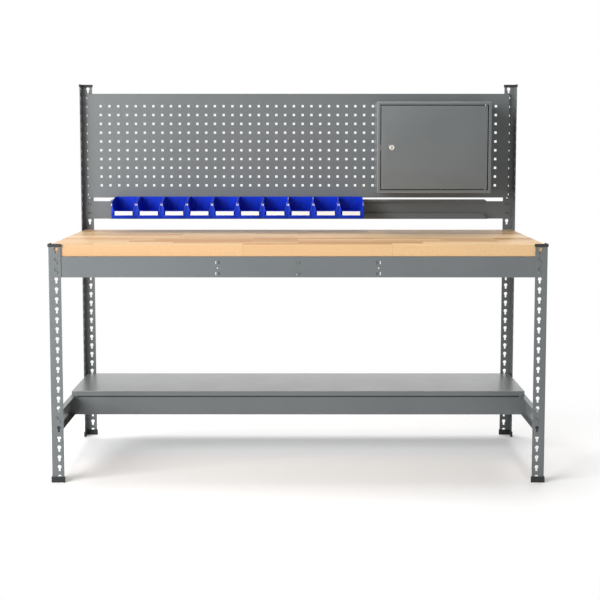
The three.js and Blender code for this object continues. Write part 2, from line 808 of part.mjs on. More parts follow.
// Cam lock: housing through the door's skin, nut behind it, plug in the housing, cam on the plug's end
const lockMiddle = [lockX, lockZ];
const bezelBack = doorFront - seat;
const bezelFace = bezelBack - bezelThickness;
const skinBack = doorFront + doorGauge;
const camFront = Math.max(cabinetFront + frameReturn, doorBack) + 1 + seat;
const housingBack = camFront - seat;
const camBack = camFront + camThickness;
const housing = cut(
  fuse(
    bar('y', [bezelFace, bezelBack], lockMiddle, bezelRadius, 24),
    bar('y', [bezelFace, housingBack], lockMiddle, barrelRadius, 16),
  ),
  bar('y', [bezelFace - bezelThickness, housingBack + camThickness], lockMiddle, boreRadius + seat, 16),
);
addPart(bench, 'lock_housing', toGeometry(housing), chrome);

const nutRadius = nutWidth / Math.sqrt(3);
const nutFront = skinBack + seat;
const nut = cut(
  bar('y', [nutFront, nutFront + nutThickness], lockMiddle, nutRadius, 6),
  bar('y', [skinBack, nutFront + 2 * nutThickness], lockMiddle, barrelRadius + seat, 16),
);
addPart(bench, 'lock_nut', toGeometry(nut), zinc);

const plugFace = bezelFace + seat;
const keySlot = box(
  [lockX - keySlotWidth / 2, lockX + keySlotWidth / 2],
  [plugFace - keySlotDepth, plugFace + keySlotDepth],
  [lockZ - keySlotLength / 2, lockZ + keySlotLength / 2],
);
const plug = cut(
  fuse(
    bar('y', [plugFace, housingBack], lockMiddle, boreRadius, 16),
    bar('y', [housingBack - seat, camBack + 2 * seat], lockMiddle, plugStubRadius, 12),
    bar('y', [camBack + seat, camBack + seat + plugHeadThickness], lockMiddle, plugHeadRadius, 12),
  ),
  keySlot,
);
addPart(bench, 'lock_plug', toGeometry(plug), chrome);

const camReach = lockX - openLeft + cabinetGauge + camOverlap;
const cam = cut(
  box(
    [lockX - camWidth / 2, lockX + camWidth / 2],
    [camFront, camBack],
    [lockZ - camReach, lockZ + camWidth / 2],
  ),
  bar('y', [camFront - camThickness, camBack + camThickness], lockMiddle, plugStubRadius + seat, 12),
);
addPart(bench, 'lock_cam', toGeometry(cam), zinc);

// Keeper: a plate on the frame's left return, beside the lock
const keeperFront = doorFront + (doorThickness - keeperWidth) / 2;
const keeper = box(
  [openLeft + seat, openLeft + seat + keeperThickness],
  [keeperFront, keeperFront + keeperWidth],
  [lockZ - keeperHeight / 2, lockZ + keeperHeight / 2],
);
addPart(bench, 'lock_keeper', toGeometry(keeper), zinc);

export default bench;
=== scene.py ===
"""Finishes the workbench: folded and painted steel, a laminated top, moulded bins and the stage around it."""
import math

import bmesh
import bpy
from bpy.props import FloatProperty, FloatVectorProperty, PointerProperty
from mathutils import Matrix, Vector


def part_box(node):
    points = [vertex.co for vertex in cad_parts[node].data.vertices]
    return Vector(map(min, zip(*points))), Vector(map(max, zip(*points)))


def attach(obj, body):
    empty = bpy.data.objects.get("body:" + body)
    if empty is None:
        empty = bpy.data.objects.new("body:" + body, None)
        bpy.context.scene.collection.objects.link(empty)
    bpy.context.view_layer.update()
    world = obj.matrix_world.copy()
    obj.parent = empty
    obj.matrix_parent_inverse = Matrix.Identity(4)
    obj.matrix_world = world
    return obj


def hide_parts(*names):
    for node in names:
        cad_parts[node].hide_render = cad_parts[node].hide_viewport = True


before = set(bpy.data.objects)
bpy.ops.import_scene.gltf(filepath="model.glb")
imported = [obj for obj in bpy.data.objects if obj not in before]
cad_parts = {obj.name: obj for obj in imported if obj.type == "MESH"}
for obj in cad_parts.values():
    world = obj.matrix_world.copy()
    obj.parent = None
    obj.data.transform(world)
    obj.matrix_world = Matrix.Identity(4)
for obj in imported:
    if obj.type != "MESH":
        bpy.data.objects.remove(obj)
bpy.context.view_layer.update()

bl_info = {
    "name": "Workbench finish",
    "version": (1, 0, 0),
    "blender": (4, 5, 0),
    "location": "View3D > Sidebar > Workbench",
    "description": "Builds the finished pieces of a slotted-angle workbench around its solids",
    "category": "Object",
}

MM = 0.001
BIN_NUMBERS = [f"{number:02d}" for number in range(1, 11)]

# How close points and faces count as one, in metres and radians
SAME_POINT = 1e-6
SAME_PLANE = 1e-5
MERGE_REACH = 5e-6
FLAT_ANGLE = 0.01
SHARP_ANGLE = 0.5
CORNER_ANGLE = 0.6

# Ranges that textures are spread over
FULL = (0.0, 1.0)
CLOUDS = (0.3, 0.7)
FIBRES = (0.2, 0.7)

# A colour mix node's sockets
MIX_MASK, MIX_FIRST, MIX_SECOND, MIX_RESULT = 0, 6, 7, 2

# Small fixed sizes, counts and shares
FOLD_STEPS = 4
KEYHOLE_SIDES = 12
FINE_EDGE = 0.4 * MM
CUT_FRONT = 4 * MM
CUT_BACK = 5 * MM
CUT_MARGIN = 1 * MM
TAB_SPREAD = 2.2                # a pressed tab's width over its slit's
COLLAR_REACH = 1 * MM
LIP_REACH = 1.9 * MM
SHADOW_STRIP_FRONT = 0.3                 # share of the step's depth left open before the pad
# Size and place of the black plates behind two keyholes, as painted shade
DARK_GAP = 0.05 * MM
DARK_GAUGE = 0.2 * MM
DARK_HALF_WIDTH = 9 * MM
DARK_BELOW = 20 * MM
DARK_ABOVE = 12 * MM
RAIL_SLIT_ROOM = 0.2 * MM
RAIL_SLIT_CUT = 3 * MM
# The black plates in the rail's slits are painted shade
RAIL_SLIT_SHADE = (0.5 * MM, 0.1 * MM)     # from a slit's end to its dark bottom's front and back
# Place and thickness of the black plate in the key slot, as painted shade
SLOT_SHADE_DEPTH = 1.2 * MM
SLOT_SHADE_GAUGE = 1 * MM
BOARD_EDGE_STEPS = 3
UPRIGHT = 0.9                   # least height of a board face's normal

# Small fixed sizes of a bin
CARD_EDGE = 0.25 * MM
SIDE_ROOM = 0.3 * MM
FRONT_INSET = 0.6 * MM
FRONT_REACH = 5 * MM
SLOT_FOOT = 1 * MM
SLOT_HEAD = 0.5 * MM
# Shares of the painted highlight on the bins' rims and on their lugs
RIM_HIGHLIGHT = 0.045                 # how far these edges turn pale
LUG_HIGHLIGHT = 1.0
RIB_PLACES = (-0.27, 0.0, 0.27)     # shares of the bin's width, from its middle
RIB_HALF_WIDTH = 1.2 * MM
RIB_PROUD = 1.4 * MM
RIB_FOOT = 8 * MM
RIB_HEAD = 5 * MM
LUG_WIDTH = 5 * MM
LUG_DEPTH = 8 * MM
LUG_DROP = 9 * MM
LUG_RISE = 1.5 * MM
LUG_EDGE = 1.2 * MM
HOOK_INSET = 6 * MM
HOOK_GAP = 0.3 * MM
HOOK_TOP = 2.5 * MM
HOOK_GAUGE = 2.2 * MM
HOOK_DROP = 7 * MM
HOOK_LAP = 1.4 * MM
SIDE_RIB_ROOT = 1.5 * MM
SIDE_RIB_FRONT = 0.8 * MM
SIDE_RIB_BACK = 4 * MM
SIDE_RIB_EDGE = 0.3 * MM
LEDGE_REACH = 5 * MM
LEDGE_PROUD = 0.9 * MM
LEDGE_ROOT = 2.4 * MM
LEDGE_DROP = 3.4 * MM
LEDGE_GAP = 0.2 * MM
LEDGE_EDGE = 0.6 * MM

# The stage: each lamp's name, its power's setting, and its size, place and target in metres
LAMPS = (
    ("key_lamp", "key", 4.2, (-3.9, -3.6, 2.8), (0.0, 0.1, 2.4)),
    ("top_lamp", "top", 5.0, (0.0, 2.0, 7.8), (0.0, 0.0, 0.0)),
    ("back_lamp", "back", 3.5, (-2.2, 4.2, 2.4), (0.0, 0.0, 0.4)),
)
FLOOR_REACH = 14.0              # metres from the middle to the floor's edge
WHITE_OVAL = (0.62, 0.9, 1.0)   # how the floor's white edge is drawn in on each axis
WHITE_FADE = (0.6, 1.5)         # where on that oval the floor starts to fade, and is white
SENSOR_WIDTH = 36.0             # millimetres


# Settings

def length(label, text, millimetres):
    """A length that a user may change, in metres, given in millimetres."""
    return FloatProperty(name=label, description=text, default=millimetres * MM, unit="LENGTH", precision=4)


def colour(label, text, red, green, blue):
    """A linear colour that a user may change."""
    return FloatVectorProperty(name=label, description=text, default=(red, green, blue), size=3,
                               subtype="COLOR", min=0.0, max=1.0)


class BenchSteelSettings(bpy.types.PropertyGroup):
    paint: colour("Paint", "Colour of the painted steel", 0.140, 0.154, 0.159)
    # Painted highlight: the paint's rounded edges are painted towards this lighter tone.
    paint_highlight: colour("Paint on edges", "Colour of the paint where an edge is rubbed", 0.32, 0.335, 0.34)
    gauge: length("Post gauge", "Sheet thickness of the posts", 2.0)
    fold_radius: length("Post fold", "Outer radius of the fold along a post", 3.0)
    edge_radius: length("Sheet edge", "Rounding of cut sheet edges", 0.35)
    keyhole_pitch: length("Keyhole pitch", "Distance between keyholes", 38.1)
    keyhole_inset: length("Keyhole inset", "From the post's corner to the keyhole column", 29.0)
    keyhole_head: length("Keyhole head", "Diameter of a keyhole's round end", 14.5)
    keyhole_height: length("Keyhole height", "Height of a whole keyhole", 24.0)
    keyhole_margin: length("Keyhole margin", "Least distance of a keyhole's middle from the post's end", 14.0)
    lower_first: length("First lower keyhole", "From the bench height down to the first keyhole", 20.7)
    upper_first: length("First upper keyhole", "From the upper post's end down to the first keyhole", 20.5)
    foot_collar: length("Foot collar", "How far a foot's collar reaches above its solid", 4.0)
    foot_edge: length("Foot edge", "Rounding of the feet's and caps' edges", 0.7)
    deck_fold: length("Deck fold", "Rounding along the deck's upper edges", 1.6)
    lip_proud: length("Shelf lip overhang", "How far the deck's front lip stands out from the solid", 2.0)
    step_height: length("Beam step height", "Height of the step under the deck's front lip", 6.0)
    step_depth: length("Beam step depth", "Depth of the step under the deck's front lip", 1.0)
    # A black strip in the step, as painted shadow under the deck's lip
    shadow_strip_height: length("Deck pad height", "Height of the dark pad between the deck and the beam", 5.6)
    fold_gauge: length("Lower fold gauge", "Thickness of the end beams' lower folds", 1.5)
    fold_gap: length("Lower fold gap", "Room between the lower folds and the beams that cross them", 0.5)
    lip_root: length("Rail lip root", "How far the rail's upper lip is set into the rail", 1.2)
    beam_proud: length("Front beam overhang", "How far the front beam's face stands before the worktop", 2.4)
    mark_drop: length("Press mark drop", "How far the pressed marks sit below the beam's middle", 4.0)
    mark_spacing: length("Press mark spacing", "From the beam's middle to a pair of pressed marks", 304.8)
    mark_spread: length("Press mark spread", "Height between the marks of a pair", 42.0)
    slit_width: length("Slit width", "Width of a slit beside a pressed tab", 3.0)
    slit_height: length("Slit height", "Height of a slit beside a pressed tab", 11.0)
    slit_offset: length("Slit offset", "From a pressed mark's middle to its slits", 6.0)
    tab_depth: length("Tab depth", "From the front beam's face back to a pressed tab", 14.0)
    tab_gauge: length("Tab gauge", "Thickness of a pressed tab", 4.0)
    tab_margin: length("Tab margin", "How far a pressed tab reaches past its slit's ends", 4.0)
    lug_slit_width: length("Lug slit width", "Width of a slit at the rail's ends", 4.2)
    lug_slit_height: length("Lug slit height", "Height of a slit at the rail's ends", 8.8)
    lug_slit_offset: length("Lug slit offset", "From a lug's middle to the slits beside it", 4.5)


class BenchTopSettings(bpy.types.PropertyGroup):
    pale: colour("Pale stave", "Lightest beech stave at the right end", 0.88, 0.585, 0.312)
    # Painted shade: the left end is painted darker than the right.
    left_pale: colour("Left pale stave", "Lightest beech stave at the left end", 0.55, 0.335, 0.174)
    # Painted light: the board's top and underside are painted towards this paler tone.
    lit_face_tone: colour("Lit faces", "Tone that lightens the staves on the board's faces", 0.97, 0.75, 0.46)
    warm: colour("Warm stave", "Darkest beech stave", 0.50, 0.262, 0.105)
    stave_width: length("Stave width", "Width of a stave across the board", 64.0)
    stave_length: length("Stave length", "Length of a stave along the board", 480.0)
    edge_radius: length("Board edge", "Rounding of the board's edges", 1.8)


class BenchBinSettings(bpy.types.PropertyGroup):
    blue: colour("Bin plastic", "Colour of the bins", 0.003, 0.036, 0.55)
    # Painted highlight: the bins' rims and lugs are painted towards this colour.
    highlight_blue: colour("Bin edges", "Colour of the bins where edges are thin", 0.86, 0.88, 1.0)
    card: colour("Label card", "Colour of the bare label cards", 0.66, 0.77, 0.97)
    wall: length("Bin wall", "Wall thickness of a bin", 2.0)
    depth: length("Bin depth", "From a bin's front to its back wall", 165.0)
    front_height: length("Bin front", "Height of the low front wall", 32.0)
    side_height: length("Bin sides", "Height of the side walls at the front", 64.0)
    slope_run: length("Bin slope", "How far the side walls slope back to the top", 110.0)
    pillar_foot: length("Pillar foot", "Width of the front pillars at the low front wall", 10.0)
    pillar_head: length("Pillar head", "Width of the front pillars at their top", 3.0)
    corner: length("Bin corner", "Rounding of a bin's corners", 1.2)
    rim: length("Bin rim", "Radius of the rolled rim", 1.7)
    draft: length("Bin draft", "How far the walls lean in towards the floor", 0.5)
    undercut: length("Bin undercut", "How far the strip under the label leans back", 6.0)
    undercut_height: length("Bin undercut height", "Height of the strip under the label", 11.0)
    slot_width: length("Label slot width", "Width of the slots at the label's ends", 6.0)
    slot_gap: length("Label slot gap", "Wall between a label's end and its slot", 0.4)
    side_rib: length("Bin side rib", "How far a bin's front rib reaches towards the next bin", 1.3)


class BenchCabinetSettings(bpy.types.PropertyGroup):
    corner: length("Cabinet fold", "Outer radius of the shell's folded edges", 1.8)
    door_corner: length("Door fold", "Outer radius of the door's folded edges", 0.6)
    bright: colour("Bright metal", "Colour of the plated lock", 0.80, 0.77, 0.71)
    black: colour("Black plastic", "Colour of caps and feet", 0.018, 0.019, 0.02)
    bezel_edge: length("Bezel edge", "Rounding of the lock's bezel", 1.0)
    plug_edge: length("Plug edge", "Rounding of the lock's plug", 0.35)
    key_slot_width: length("Key slot width", "Width of the key slot", 2.8)
    key_slot_length: length("Key slot length", "Length of the key slot", 10.5)
    key_slot_depth: length("Key slot depth", "Depth of the key slot", 2.4)


class BenchStageSettings(bpy.types.PropertyGroup):
    floor: colour("Floor", "Colour of the floor", 0.90, 0.90, 0.90)
    lift: FloatProperty(name="Floor lift", description="White added where the floor is seen", default=0.21)
    world: FloatProperty(name="Room light", description="Strength of the even light", default=0.10)
    key: FloatProperty(name="Key light", description="Power of the large lamp at the left", unit="POWER",
                       default=458.0)
    top: FloatProperty(name="Top light", description="Power of the lamp above", unit="POWER", default=435.0)
    back: FloatProperty(name="Back light", description="Power of the lamp behind", unit="POWER", default=75.0)
    camera: FloatVectorProperty(name="Camera", description="Place of the camera", subtype="TRANSLATION",
                                default=(0.0075, -5.0717, 1.3208))
    tilt: FloatProperty(name="Tilt", description="How far the camera looks down", subtype="ANGLE",
                        default=math.radians(5.195))
    lens: FloatProperty(name="Lens", description="Focal length in millimetres", unit="CAMERA", default=74.84)
    shift: FloatProperty(name="Shift", description="Vertical shift of the lens", default=-0.0832)


# Materials

def add_node(tree, kind, inputs=None, **settings):
    """Adds a node, sets its own settings, and sets or links its inputs."""
    node = tree.nodes.new(kind)
    for key, value in settings.items():
        setattr(node, key, value)
    for key, value in (inputs or {}).items():
        if isinstance(value, bpy.types.NodeSocket):
            tree.links.new(value, node.inputs[key])
        else:
            node.inputs[key].default_value = value
    return node


def math_node(tree, operation, first, second=0.0, clamp=False):
    """A math node's result."""
    node = add_node(tree, "ShaderNodeMath", {0: first, 1: second}, operation=operation, use_clamp=clamp)
    return node.outputs[0]


def scaled(tree, value, factor):
    """A value times a factor."""
    return math_node(tree, "MULTIPLY", value, factor)


def ranged(tree, value, source, target=FULL):
    """Maps a value from one range to another, held at its ends."""
    node = add_node(tree, "ShaderNodeMapRange", {"Value": value, "From Min": source[0], "From Max": source[1],
                                                 "To Min": target[0], "To Max": target[1]})
    return node.outputs[0]


def mixed(tree, mask, first, second):
    """Mixes two colours by a mask; a colour is a socket or three even values."""
    node = add_node(tree, "ShaderNodeMix", {MIX_MASK: mask}, data_type="RGBA")
    for key, value in ((MIX_FIRST, first), (MIX_SECOND, second)):
        if isinstance(value, bpy.types.NodeSocket):
            tree.links.new(value, node.inputs[key])
        else:
            node.inputs[key].default_value = (*value, 1.0)
    return node.outputs[MIX_RESULT]


def noise(tree, vector, scale, detail=3.0, roughness=0.5):
    """A noise texture's value."""
    node = add_node(tree, "ShaderNodeTexNoise", {"Vector": vector, "Scale": scale, "Detail": detail,
                                                 "Roughness": roughness})
    return node.outputs[0]


def stretched(tree, vector, scale):
    """A vector stretched by a scale on each axis."""
    return add_node(tree, "ShaderNodeMapping", {"Vector": vector, "Scale": scale}).outputs[0]


def new_group(name, inputs, outputs):
    """A new shader node group with named sockets: its tree, its input node and its output node."""
    tree = bpy.data.node_groups.new(name, "ShaderNodeTree")
    for label, kind in inputs:
        tree.interface.new_socket(name=label, in_out="INPUT", socket_type=kind)
    for label, kind in outputs:
        tree.interface.new_socket(name=label, in_out="OUTPUT", socket_type=kind)
    start = tree.nodes.new("NodeGroupInput")
    end = tree.nodes.new("NodeGroupOutput")
    return tree, start, end


def surface_group():
    """Fine texture, soft clouding and handling smudges, for every coated or moulded finish."""
    name = "fine_surface"
    if name in bpy.data.node_groups:
        return bpy.data.node_groups[name]
    value = "NodeSocketFloat"
    tree, start, end = new_group(
        name,
        [("Vector", "NodeSocketVector"), ("Grain Scale", value), ("Cloud Scale", value)],
        [("Grain", value), ("Cloud", value), ("Smudge", value)],
    )
    vector = start.outputs["Vector"]
    peel = noise(tree, vector, start.outputs["Grain Scale"], detail=2.0)
    pit = add_node(tree, "ShaderNodeTexVoronoi", {"Vector": vector, "Scale": start.outputs["Grain Scale"]})
    peel_share, pit_share = 0.7, 0.3
    grain = math_node(tree, "ADD", scaled(tree, peel, peel_share),
                      scaled(tree, pit.outputs["Distance"], pit_share))
    cloud = noise(tree, vector, start.outputs["Cloud Scale"], detail=4.0, roughness=0.6)
    streak = noise(tree, stretched(tree, vector, (1.0, 1.0, 3.5)), scale=9.0, detail=6.0, roughness=0.65)
    smudge = ranged(tree, streak, (0.42, 0.72))
    tree.links.new(grain, end.inputs["Grain"])
    tree.links.new(cloud, end.inputs["Cloud"])
    tree.links.new(smudge, end.inputs["Smudge"])
    return tree


def edge_highlight_group():
    """Painted edge highlight: turns a colour towards a paler tone on the faces that are marked for it."""
    name = "edge_rub"
    if name in bpy.data.node_groups:
        return bpy.data.node_groups[name]
    tint = "NodeSocketColor"
    tree, start, end = new_group(
        name,
        [("Colour", tint), ("Rubbed Colour", tint), ("Share", "NodeSocketFloat")],
        [("Colour", tint)],
    )
    mark = add_node(tree, "ShaderNodeAttribute", attribute_name="rub").outputs["Fac"]
    share = scaled(tree, mark, start.outputs["Share"])
    highlight_tone = mixed(tree, share, start.outputs["Colour"], start.outputs["Rubbed Colour"])
    tree.links.new(highlight_tone, end.inputs["Colour"])
    return tree


def new_material(name, **settings):
    """A material with one principled shader, whose even values are set on its own sockets."""
    material = bpy.data.materials.new(name)
    material.use_nodes = True
    shader = material.node_tree.nodes["Principled BSDF"]
    for key, value in settings.items():
        socket = shader.inputs[key.replace("_", " ").title().replace("Ior", "IOR")]
        socket.default_value = (*value, 1.0) if isinstance(value, tuple) else value
    return material, material.node_tree, shader


def object_coordinates(tree):
    """The object's own coordinates."""
    return tree.nodes.new("ShaderNodeTexCoord").outputs["Object"]


def surface_nodes(tree, vector, grain_scale, cloud_scale):
    """The shared fine surface, placed in a material with its own values."""
    values = {"Vector": vector, "Grain Scale": grain_scale, "Cloud Scale": cloud_scale}
    return add_node(tree, "ShaderNodeGroup", values, node_tree=surface_group()).outputs


def painted_edge_highlights(tree, clean, highlight_tone, share):
    """The shared painted edge highlight, placed in a material with its own values."""
    values = {"Colour": clean, "Rubbed Colour": (*highlight_tone, 1.0), "Share": share}
    return add_node(tree, "ShaderNodeGroup", values, node_tree=edge_highlight_group()).outputs["Colour"]


def bump(tree, shader, height, strength, distance):
    """Feeds a height into the shader's normal."""
    node = add_node(tree, "ShaderNodeBump", {"Height": height, "Strength": strength, "Distance": distance})
    tree.links.new(node.outputs["Normal"], shader.inputs["Normal"])


def shade(base, factor):
    """A colour made lighter or darker."""
    return tuple(min(1.0, channel * factor) for channel in base)


def paint_material(settings, name, gloss):
    """Grey powder coat with orange peel, faint clouding and a painted highlight on its rounded edges."""
    if name in bpy.data.materials:
        return bpy.data.materials[name]
    material, tree, shader = new_material(name, specular_ior_level=0.25, coat_weight=gloss,
                                          coat_roughness=0.32)
    surface = surface_nodes(tree, object_coordinates(tree), grain_scale=900.0, cloud_scale=3.2)
    base = tuple(settings.paint)
    pit_depth = (0.0, 0.35)
    clouded = mixed(tree, ranged(tree, surface["Cloud"], CLOUDS), shade(base, 0.94), shade(base, 1.06))
    speckled = mixed(tree, ranged(tree, surface["Grain"], (0.25, 0.6), pit_depth), clouded, shade(base, 0.86))
    # Rounded edges painted lighter, as a painted highlight.
    highlighted = painted_edge_highlights(tree, speckled, tuple(settings.paint_highlight), share=0.7)
    tree.links.new(highlighted, shader.inputs["Base Color"])
    tree.links.new(ranged(tree, surface["Smudge"], FULL, (0.40, 0.32)), shader.inputs["Roughness"])
    bump(tree, shader, surface["Grain"], strength=0.10, distance=0.0002)
    return material


def plastic_material(name, base, pale, rough, shine, grain_scale, strength):
    """Moulded plastic with a fine mould texture, soft clouding and a painted highlight on the faces marked
    for it.
    """
    if name in bpy.data.materials:
        return bpy.data.materials[name]
    material, tree, shader = new_material(name, specular_ior_level=shine)
    surface = surface_nodes(tree, object_coordinates(tree), grain_scale, cloud_scale=14.0)
    scuff_share, scuff_rise = 0.10, 0.1
    clouded = mixed(tree, ranged(tree, surface["Cloud"], CLOUDS), shade(base, 0.86), shade(base, 1.14))
    scuffed = mixed(tree, scaled(tree, surface["Smudge"], scuff_share), clouded, shade(base, 1.8))
    tree.links.new(painted_edge_highlights(tree, scuffed, pale, share=1.0), shader.inputs["Base Color"])
    roughness = ranged(tree, surface["Smudge"], FULL, (rough, rough + scuff_rise))
    tree.links.new(roughness, shader.inputs["Roughness"])
    bump(tree, shader, surface["Grain"], strength, distance=0.0002)
    return material


def metal_material(name, base, rough, brushing):
    """Plated metal with fine turning marks and a slightly uneven polish."""
    if name in bpy.data.materials:
        return bpy.data.materials[name]
    material, tree, shader = new_material(name, metallic=1.0)
    vector = stretched(tree, object_coordinates(tree), brushing)
    surface = surface_nodes(tree, vector, grain_scale=700.0, cloud_scale=60.0)
    polish = (rough * 0.8, rough * 1.3)
    tinted = mixed(tree, ranged(tree, surface["Cloud"], CLOUDS), shade(base, 0.9), base)
    tree.links.new(tinted, shader.inputs["Base Color"])
    tree.links.new(ranged(tree, surface["Grain"], FIBRES, polish), shader.inputs["Roughness"])
    bump(tree, shader, surface["Grain"], strength=0.08, distance=0.0001)
    return material


def card_material(settings):
    """White label card with paper fibre."""
    name = "label_card"
    if name in bpy.data.materials:
        return bpy.data.materials[name]
    material, tree, shader = new_material(name, specular_ior_level=0.3)
    surface = surface_nodes(tree, object_coordinates(tree), grain_scale=1600.0, cloud_scale=40.0)
    base = tuple(settings.card)
    fibre = mixed(tree, ranged(tree, surface["Grain"], FIBRES), shade(base, 0.97), base)
    tree.links.new(fibre, shader.inputs["Base Color"])
    tree.links.new(ranged(tree, surface["Cloud"], FULL, (0.62, 0.74)), shader.inputs["Roughness"])
    bump(tree, shader, surface["Grain"], strength=0.1, distance=0.0001)
    return material


def beech_material(settings):
    """Laminated beech: glued staves of varied tone, long grain, short flecks and a satin varnish; its top and
    underside are painted paler and its left end darker, as painted light and shade.
    """
    name = "laminated_beech"
    if name in bpy.data.materials:
        return bpy.data.materials[name]
    material, tree, shader = new_material(name, specular_ior_level=0.2)
    vector = object_coordinates(tree)
    staves = add_node(
        tree, "ShaderNodeTexBrick",
        {"Vector": vector, "Color1": (0.0, 0.0, 0.0, 1.0), "Color2": (1.0, 1.0, 1.0, 1.0),
         "Mortar": (0.5, 0.5, 0.5, 1.0), "Scale": 1.0, "Mortar Size": 0.0003, "Mortar Smooth": 0.3,
         "Bias": 0.0, "Brick Width": settings.stave_length, "Row Height": settings.stave_width},
        offset=0.37, offset_frequency=2, squash=1.18, squash_frequency=3)
    tone = staves.outputs["Color"]
    shifted = add_node(tree, "ShaderNodeVectorMath", {0: vector, 1: tone}, operation="ADD").outputs[0]
    figure = noise(tree, stretched(tree, shifted, (1.3, 13.0, 13.0)), scale=1.0, detail=4.0, roughness=0.6)
    streak = noise(tree, stretched(tree, shifted, (7.0, 240.0, 240.0)), scale=1.0, detail=5.0, roughness=0.6)
    fleck = noise(tree, stretched(tree, shifted, (160.0, 1300.0, 1300.0)), scale=1.0, detail=1.0)
    warm = tuple(settings.warm)
    # Painted shade: the staves get darker towards the left end, evening out the stronger light that falls
    # there.
    board_ends = (-0.94, 0.94)
    along = add_node(tree, "ShaderNodeSeparateXYZ", {0: vector}).outputs["X"]
    pale = mixed(tree, ranged(tree, along, board_ends), tuple(settings.left_pale), tuple(settings.pale))
    face = add_node(tree, "ShaderNodeAttribute", attribute_name="board_face").outputs["Fac"]
    depth = ranged(tree, face, FULL, (0.10, 1.0))
    lit_face_share, joint_share = 0.30, 0.55
    # Painted light: the top and underside are lighter than the edges.
    ground = mixed(tree, scaled(tree, face, lit_face_share), pale, tuple(settings.lit_face_tone))
    toned = mixed(tree, scaled(tree, ranged(tree, tone, (0.4, 1.0), (0.0, 0.95)), depth), ground, warm)
    figured = mixed(tree, scaled(tree, ranged(tree, figure, (0.5, 0.68), (0.0, 0.75)), depth), toned, warm)
    grained = mixed(tree, scaled(tree, ranged(tree, streak, (0.5, 0.75), (0.0, 0.45)), depth), figured,
                    shade(warm, 0.8))
    flecked = mixed(tree, ranged(tree, fleck, (0.62, 0.72), (0.0, 0.45)), grained, shade(warm, 0.62))
    jointed = mixed(tree, scaled(tree, staves.outputs["Fac"], joint_share), flecked, shade(warm, 0.45))
    tree.links.new(jointed, shader.inputs["Base Color"])
    tree.links.new(ranged(tree, streak, (0.3, 0.8), (0.34, 0.46)), shader.inputs["Roughness"])
    bump(tree, shader, math_node(tree, "SUBTRACT", streak, fleck), strength=0.05, distance=0.0003)
    return material


def steel():
    """The satin paint on posts, beams, panel and cabinet."""
    return paint_material(bpy.context.scene.bench_steel, "grey_powder_coat", gloss=0.6)


def deck_steel():
    """The glossier paint on the shelf deck."""
    return paint_material(bpy.context.scene.bench_steel, "polished_powder_coat", gloss=1.0)


def black_plastic():
    """The black of feet and caps, with a painted highlight on their rounded edges, and of the black plates
    set as painted shade in slits, keyholes, the key slot and the beam's step.
    """
    base = tuple(bpy.context.scene.bench_cabinet.black)
    # Painted highlight: rounded edges of feet and caps are painted towards this paler black.
    return plastic_material("black_moulding", base, shade(base, 1.6), rough=0.46, shine=0.4,
                            grain_scale=1400.0, strength=0.25)


def blue_plastic():
    """The bins' plastic, whose rims and lugs are painted towards a pale blue as a painted highlight."""
    settings = bpy.context.scene.bench_bins
    return plastic_material("blue_moulding", tuple(settings.blue), tuple(settings.highlight_blue), rough=0.30,
                            shine=0.2, grain_scale=1100.0, strength=0.06)


def bright_metal():
    """The lock's bright plating."""
    return metal_material("bright_plate", tuple(bpy.context.scene.bench_cabinet.bright), rough=0.16,
                          brushing=(1.0, 0.2, 1.0))


def zinc_plate():
    """The duller plating of pins, nut, cam and keeper."""
    base = shade(tuple(bpy.context.scene.bench_cabinet.bright), 0.78)
    return metal_material("zinc_plate", base, rough=0.34, brushing=(1.0, 1.0, 1.0))


# Modelling helpers

def finished(name, bm, material, body, nodes=(), smooth=None):
    """Turns a bmesh into a piece at the origin that rides on a body and may stand for solids."""
    mesh = bpy.data.meshes.new(name)
    bm.to_mesh(mesh)
    bm.free()
    mesh.materials.append(material)
    if smooth is not None:
        mesh.shade_smooth()
        mesh.set_sharp_from_angle(angle=math.radians(smooth))
    piece = bpy.data.objects.new(name, mesh)
    bpy.context.scene.collection.objects.link(piece)
    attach(piece, body)
    if nodes:
        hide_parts(*nodes)
    return piece


def rounded(bm, edges, radius, segments):
    """Rounds edges of a bmesh and gives the new faces."""
    made = bmesh.ops.bevel(bm, geom=edges, offset=radius, offset_type="OFFSET", segments=segments,
                           profile=0.5, affect="EDGES", clamp_overlap=True, material=-1)
    return made["faces"]


def block(bm, low, high, radius=0.0, segments=2):
    """A box between two corners with rounded edges, added to a bmesh."""
    low, high = Vector(low), Vector(high)
    made = bmesh.ops.create_cube(bm, size=1.0)["verts"]
    bmesh.ops.scale(bm, vec=high - low, verts=made)
    bmesh.ops.translate(bm, vec=(low + high) / 2, verts=made)
    if radius:
        rounded(bm, list({edge for vert in made for edge in vert.link_edges}), radius, segments)


def merged_copy(node):
    """A copy of a solid's mesh with its points merged and its flat faces joined."""
    bm = bmesh.new()
    bm.from_mesh(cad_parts[node].data)
    bmesh.ops.remove_doubles(bm, verts=bm.verts[:], dist=MERGE_REACH)
    bmesh.ops.dissolve_limit(bm, angle_limit=FLAT_ANGLE, verts=bm.verts[:], edges=bm.edges[:])
    return bm


def bevel_marked(bm, edges, radius, segments=2):
    """Rounds edges and marks the new faces for the painted edge highlight."""
    layer = bm.faces.layers.float.get("rub") or bm.faces.layers.float.new("rub")
    for face in rounded(bm, edges, radius, segments):
        face[layer] = 1.0


def sharp_edges(bm, least=SHARP_ANGLE):
    """Edges between faces that meet at more than an angle."""
    return [edge for edge in bm.edges if len(edge.link_faces) == 2 and edge.calc_face_angle(0.0) > least]


def rounded_copy(node, radius):
    """A copy of a solid with all its sharp edges rounded a little."""
    bm = merged_copy(node)
    bevel_marked(bm, sharp_edges(bm), radius)
    return bm


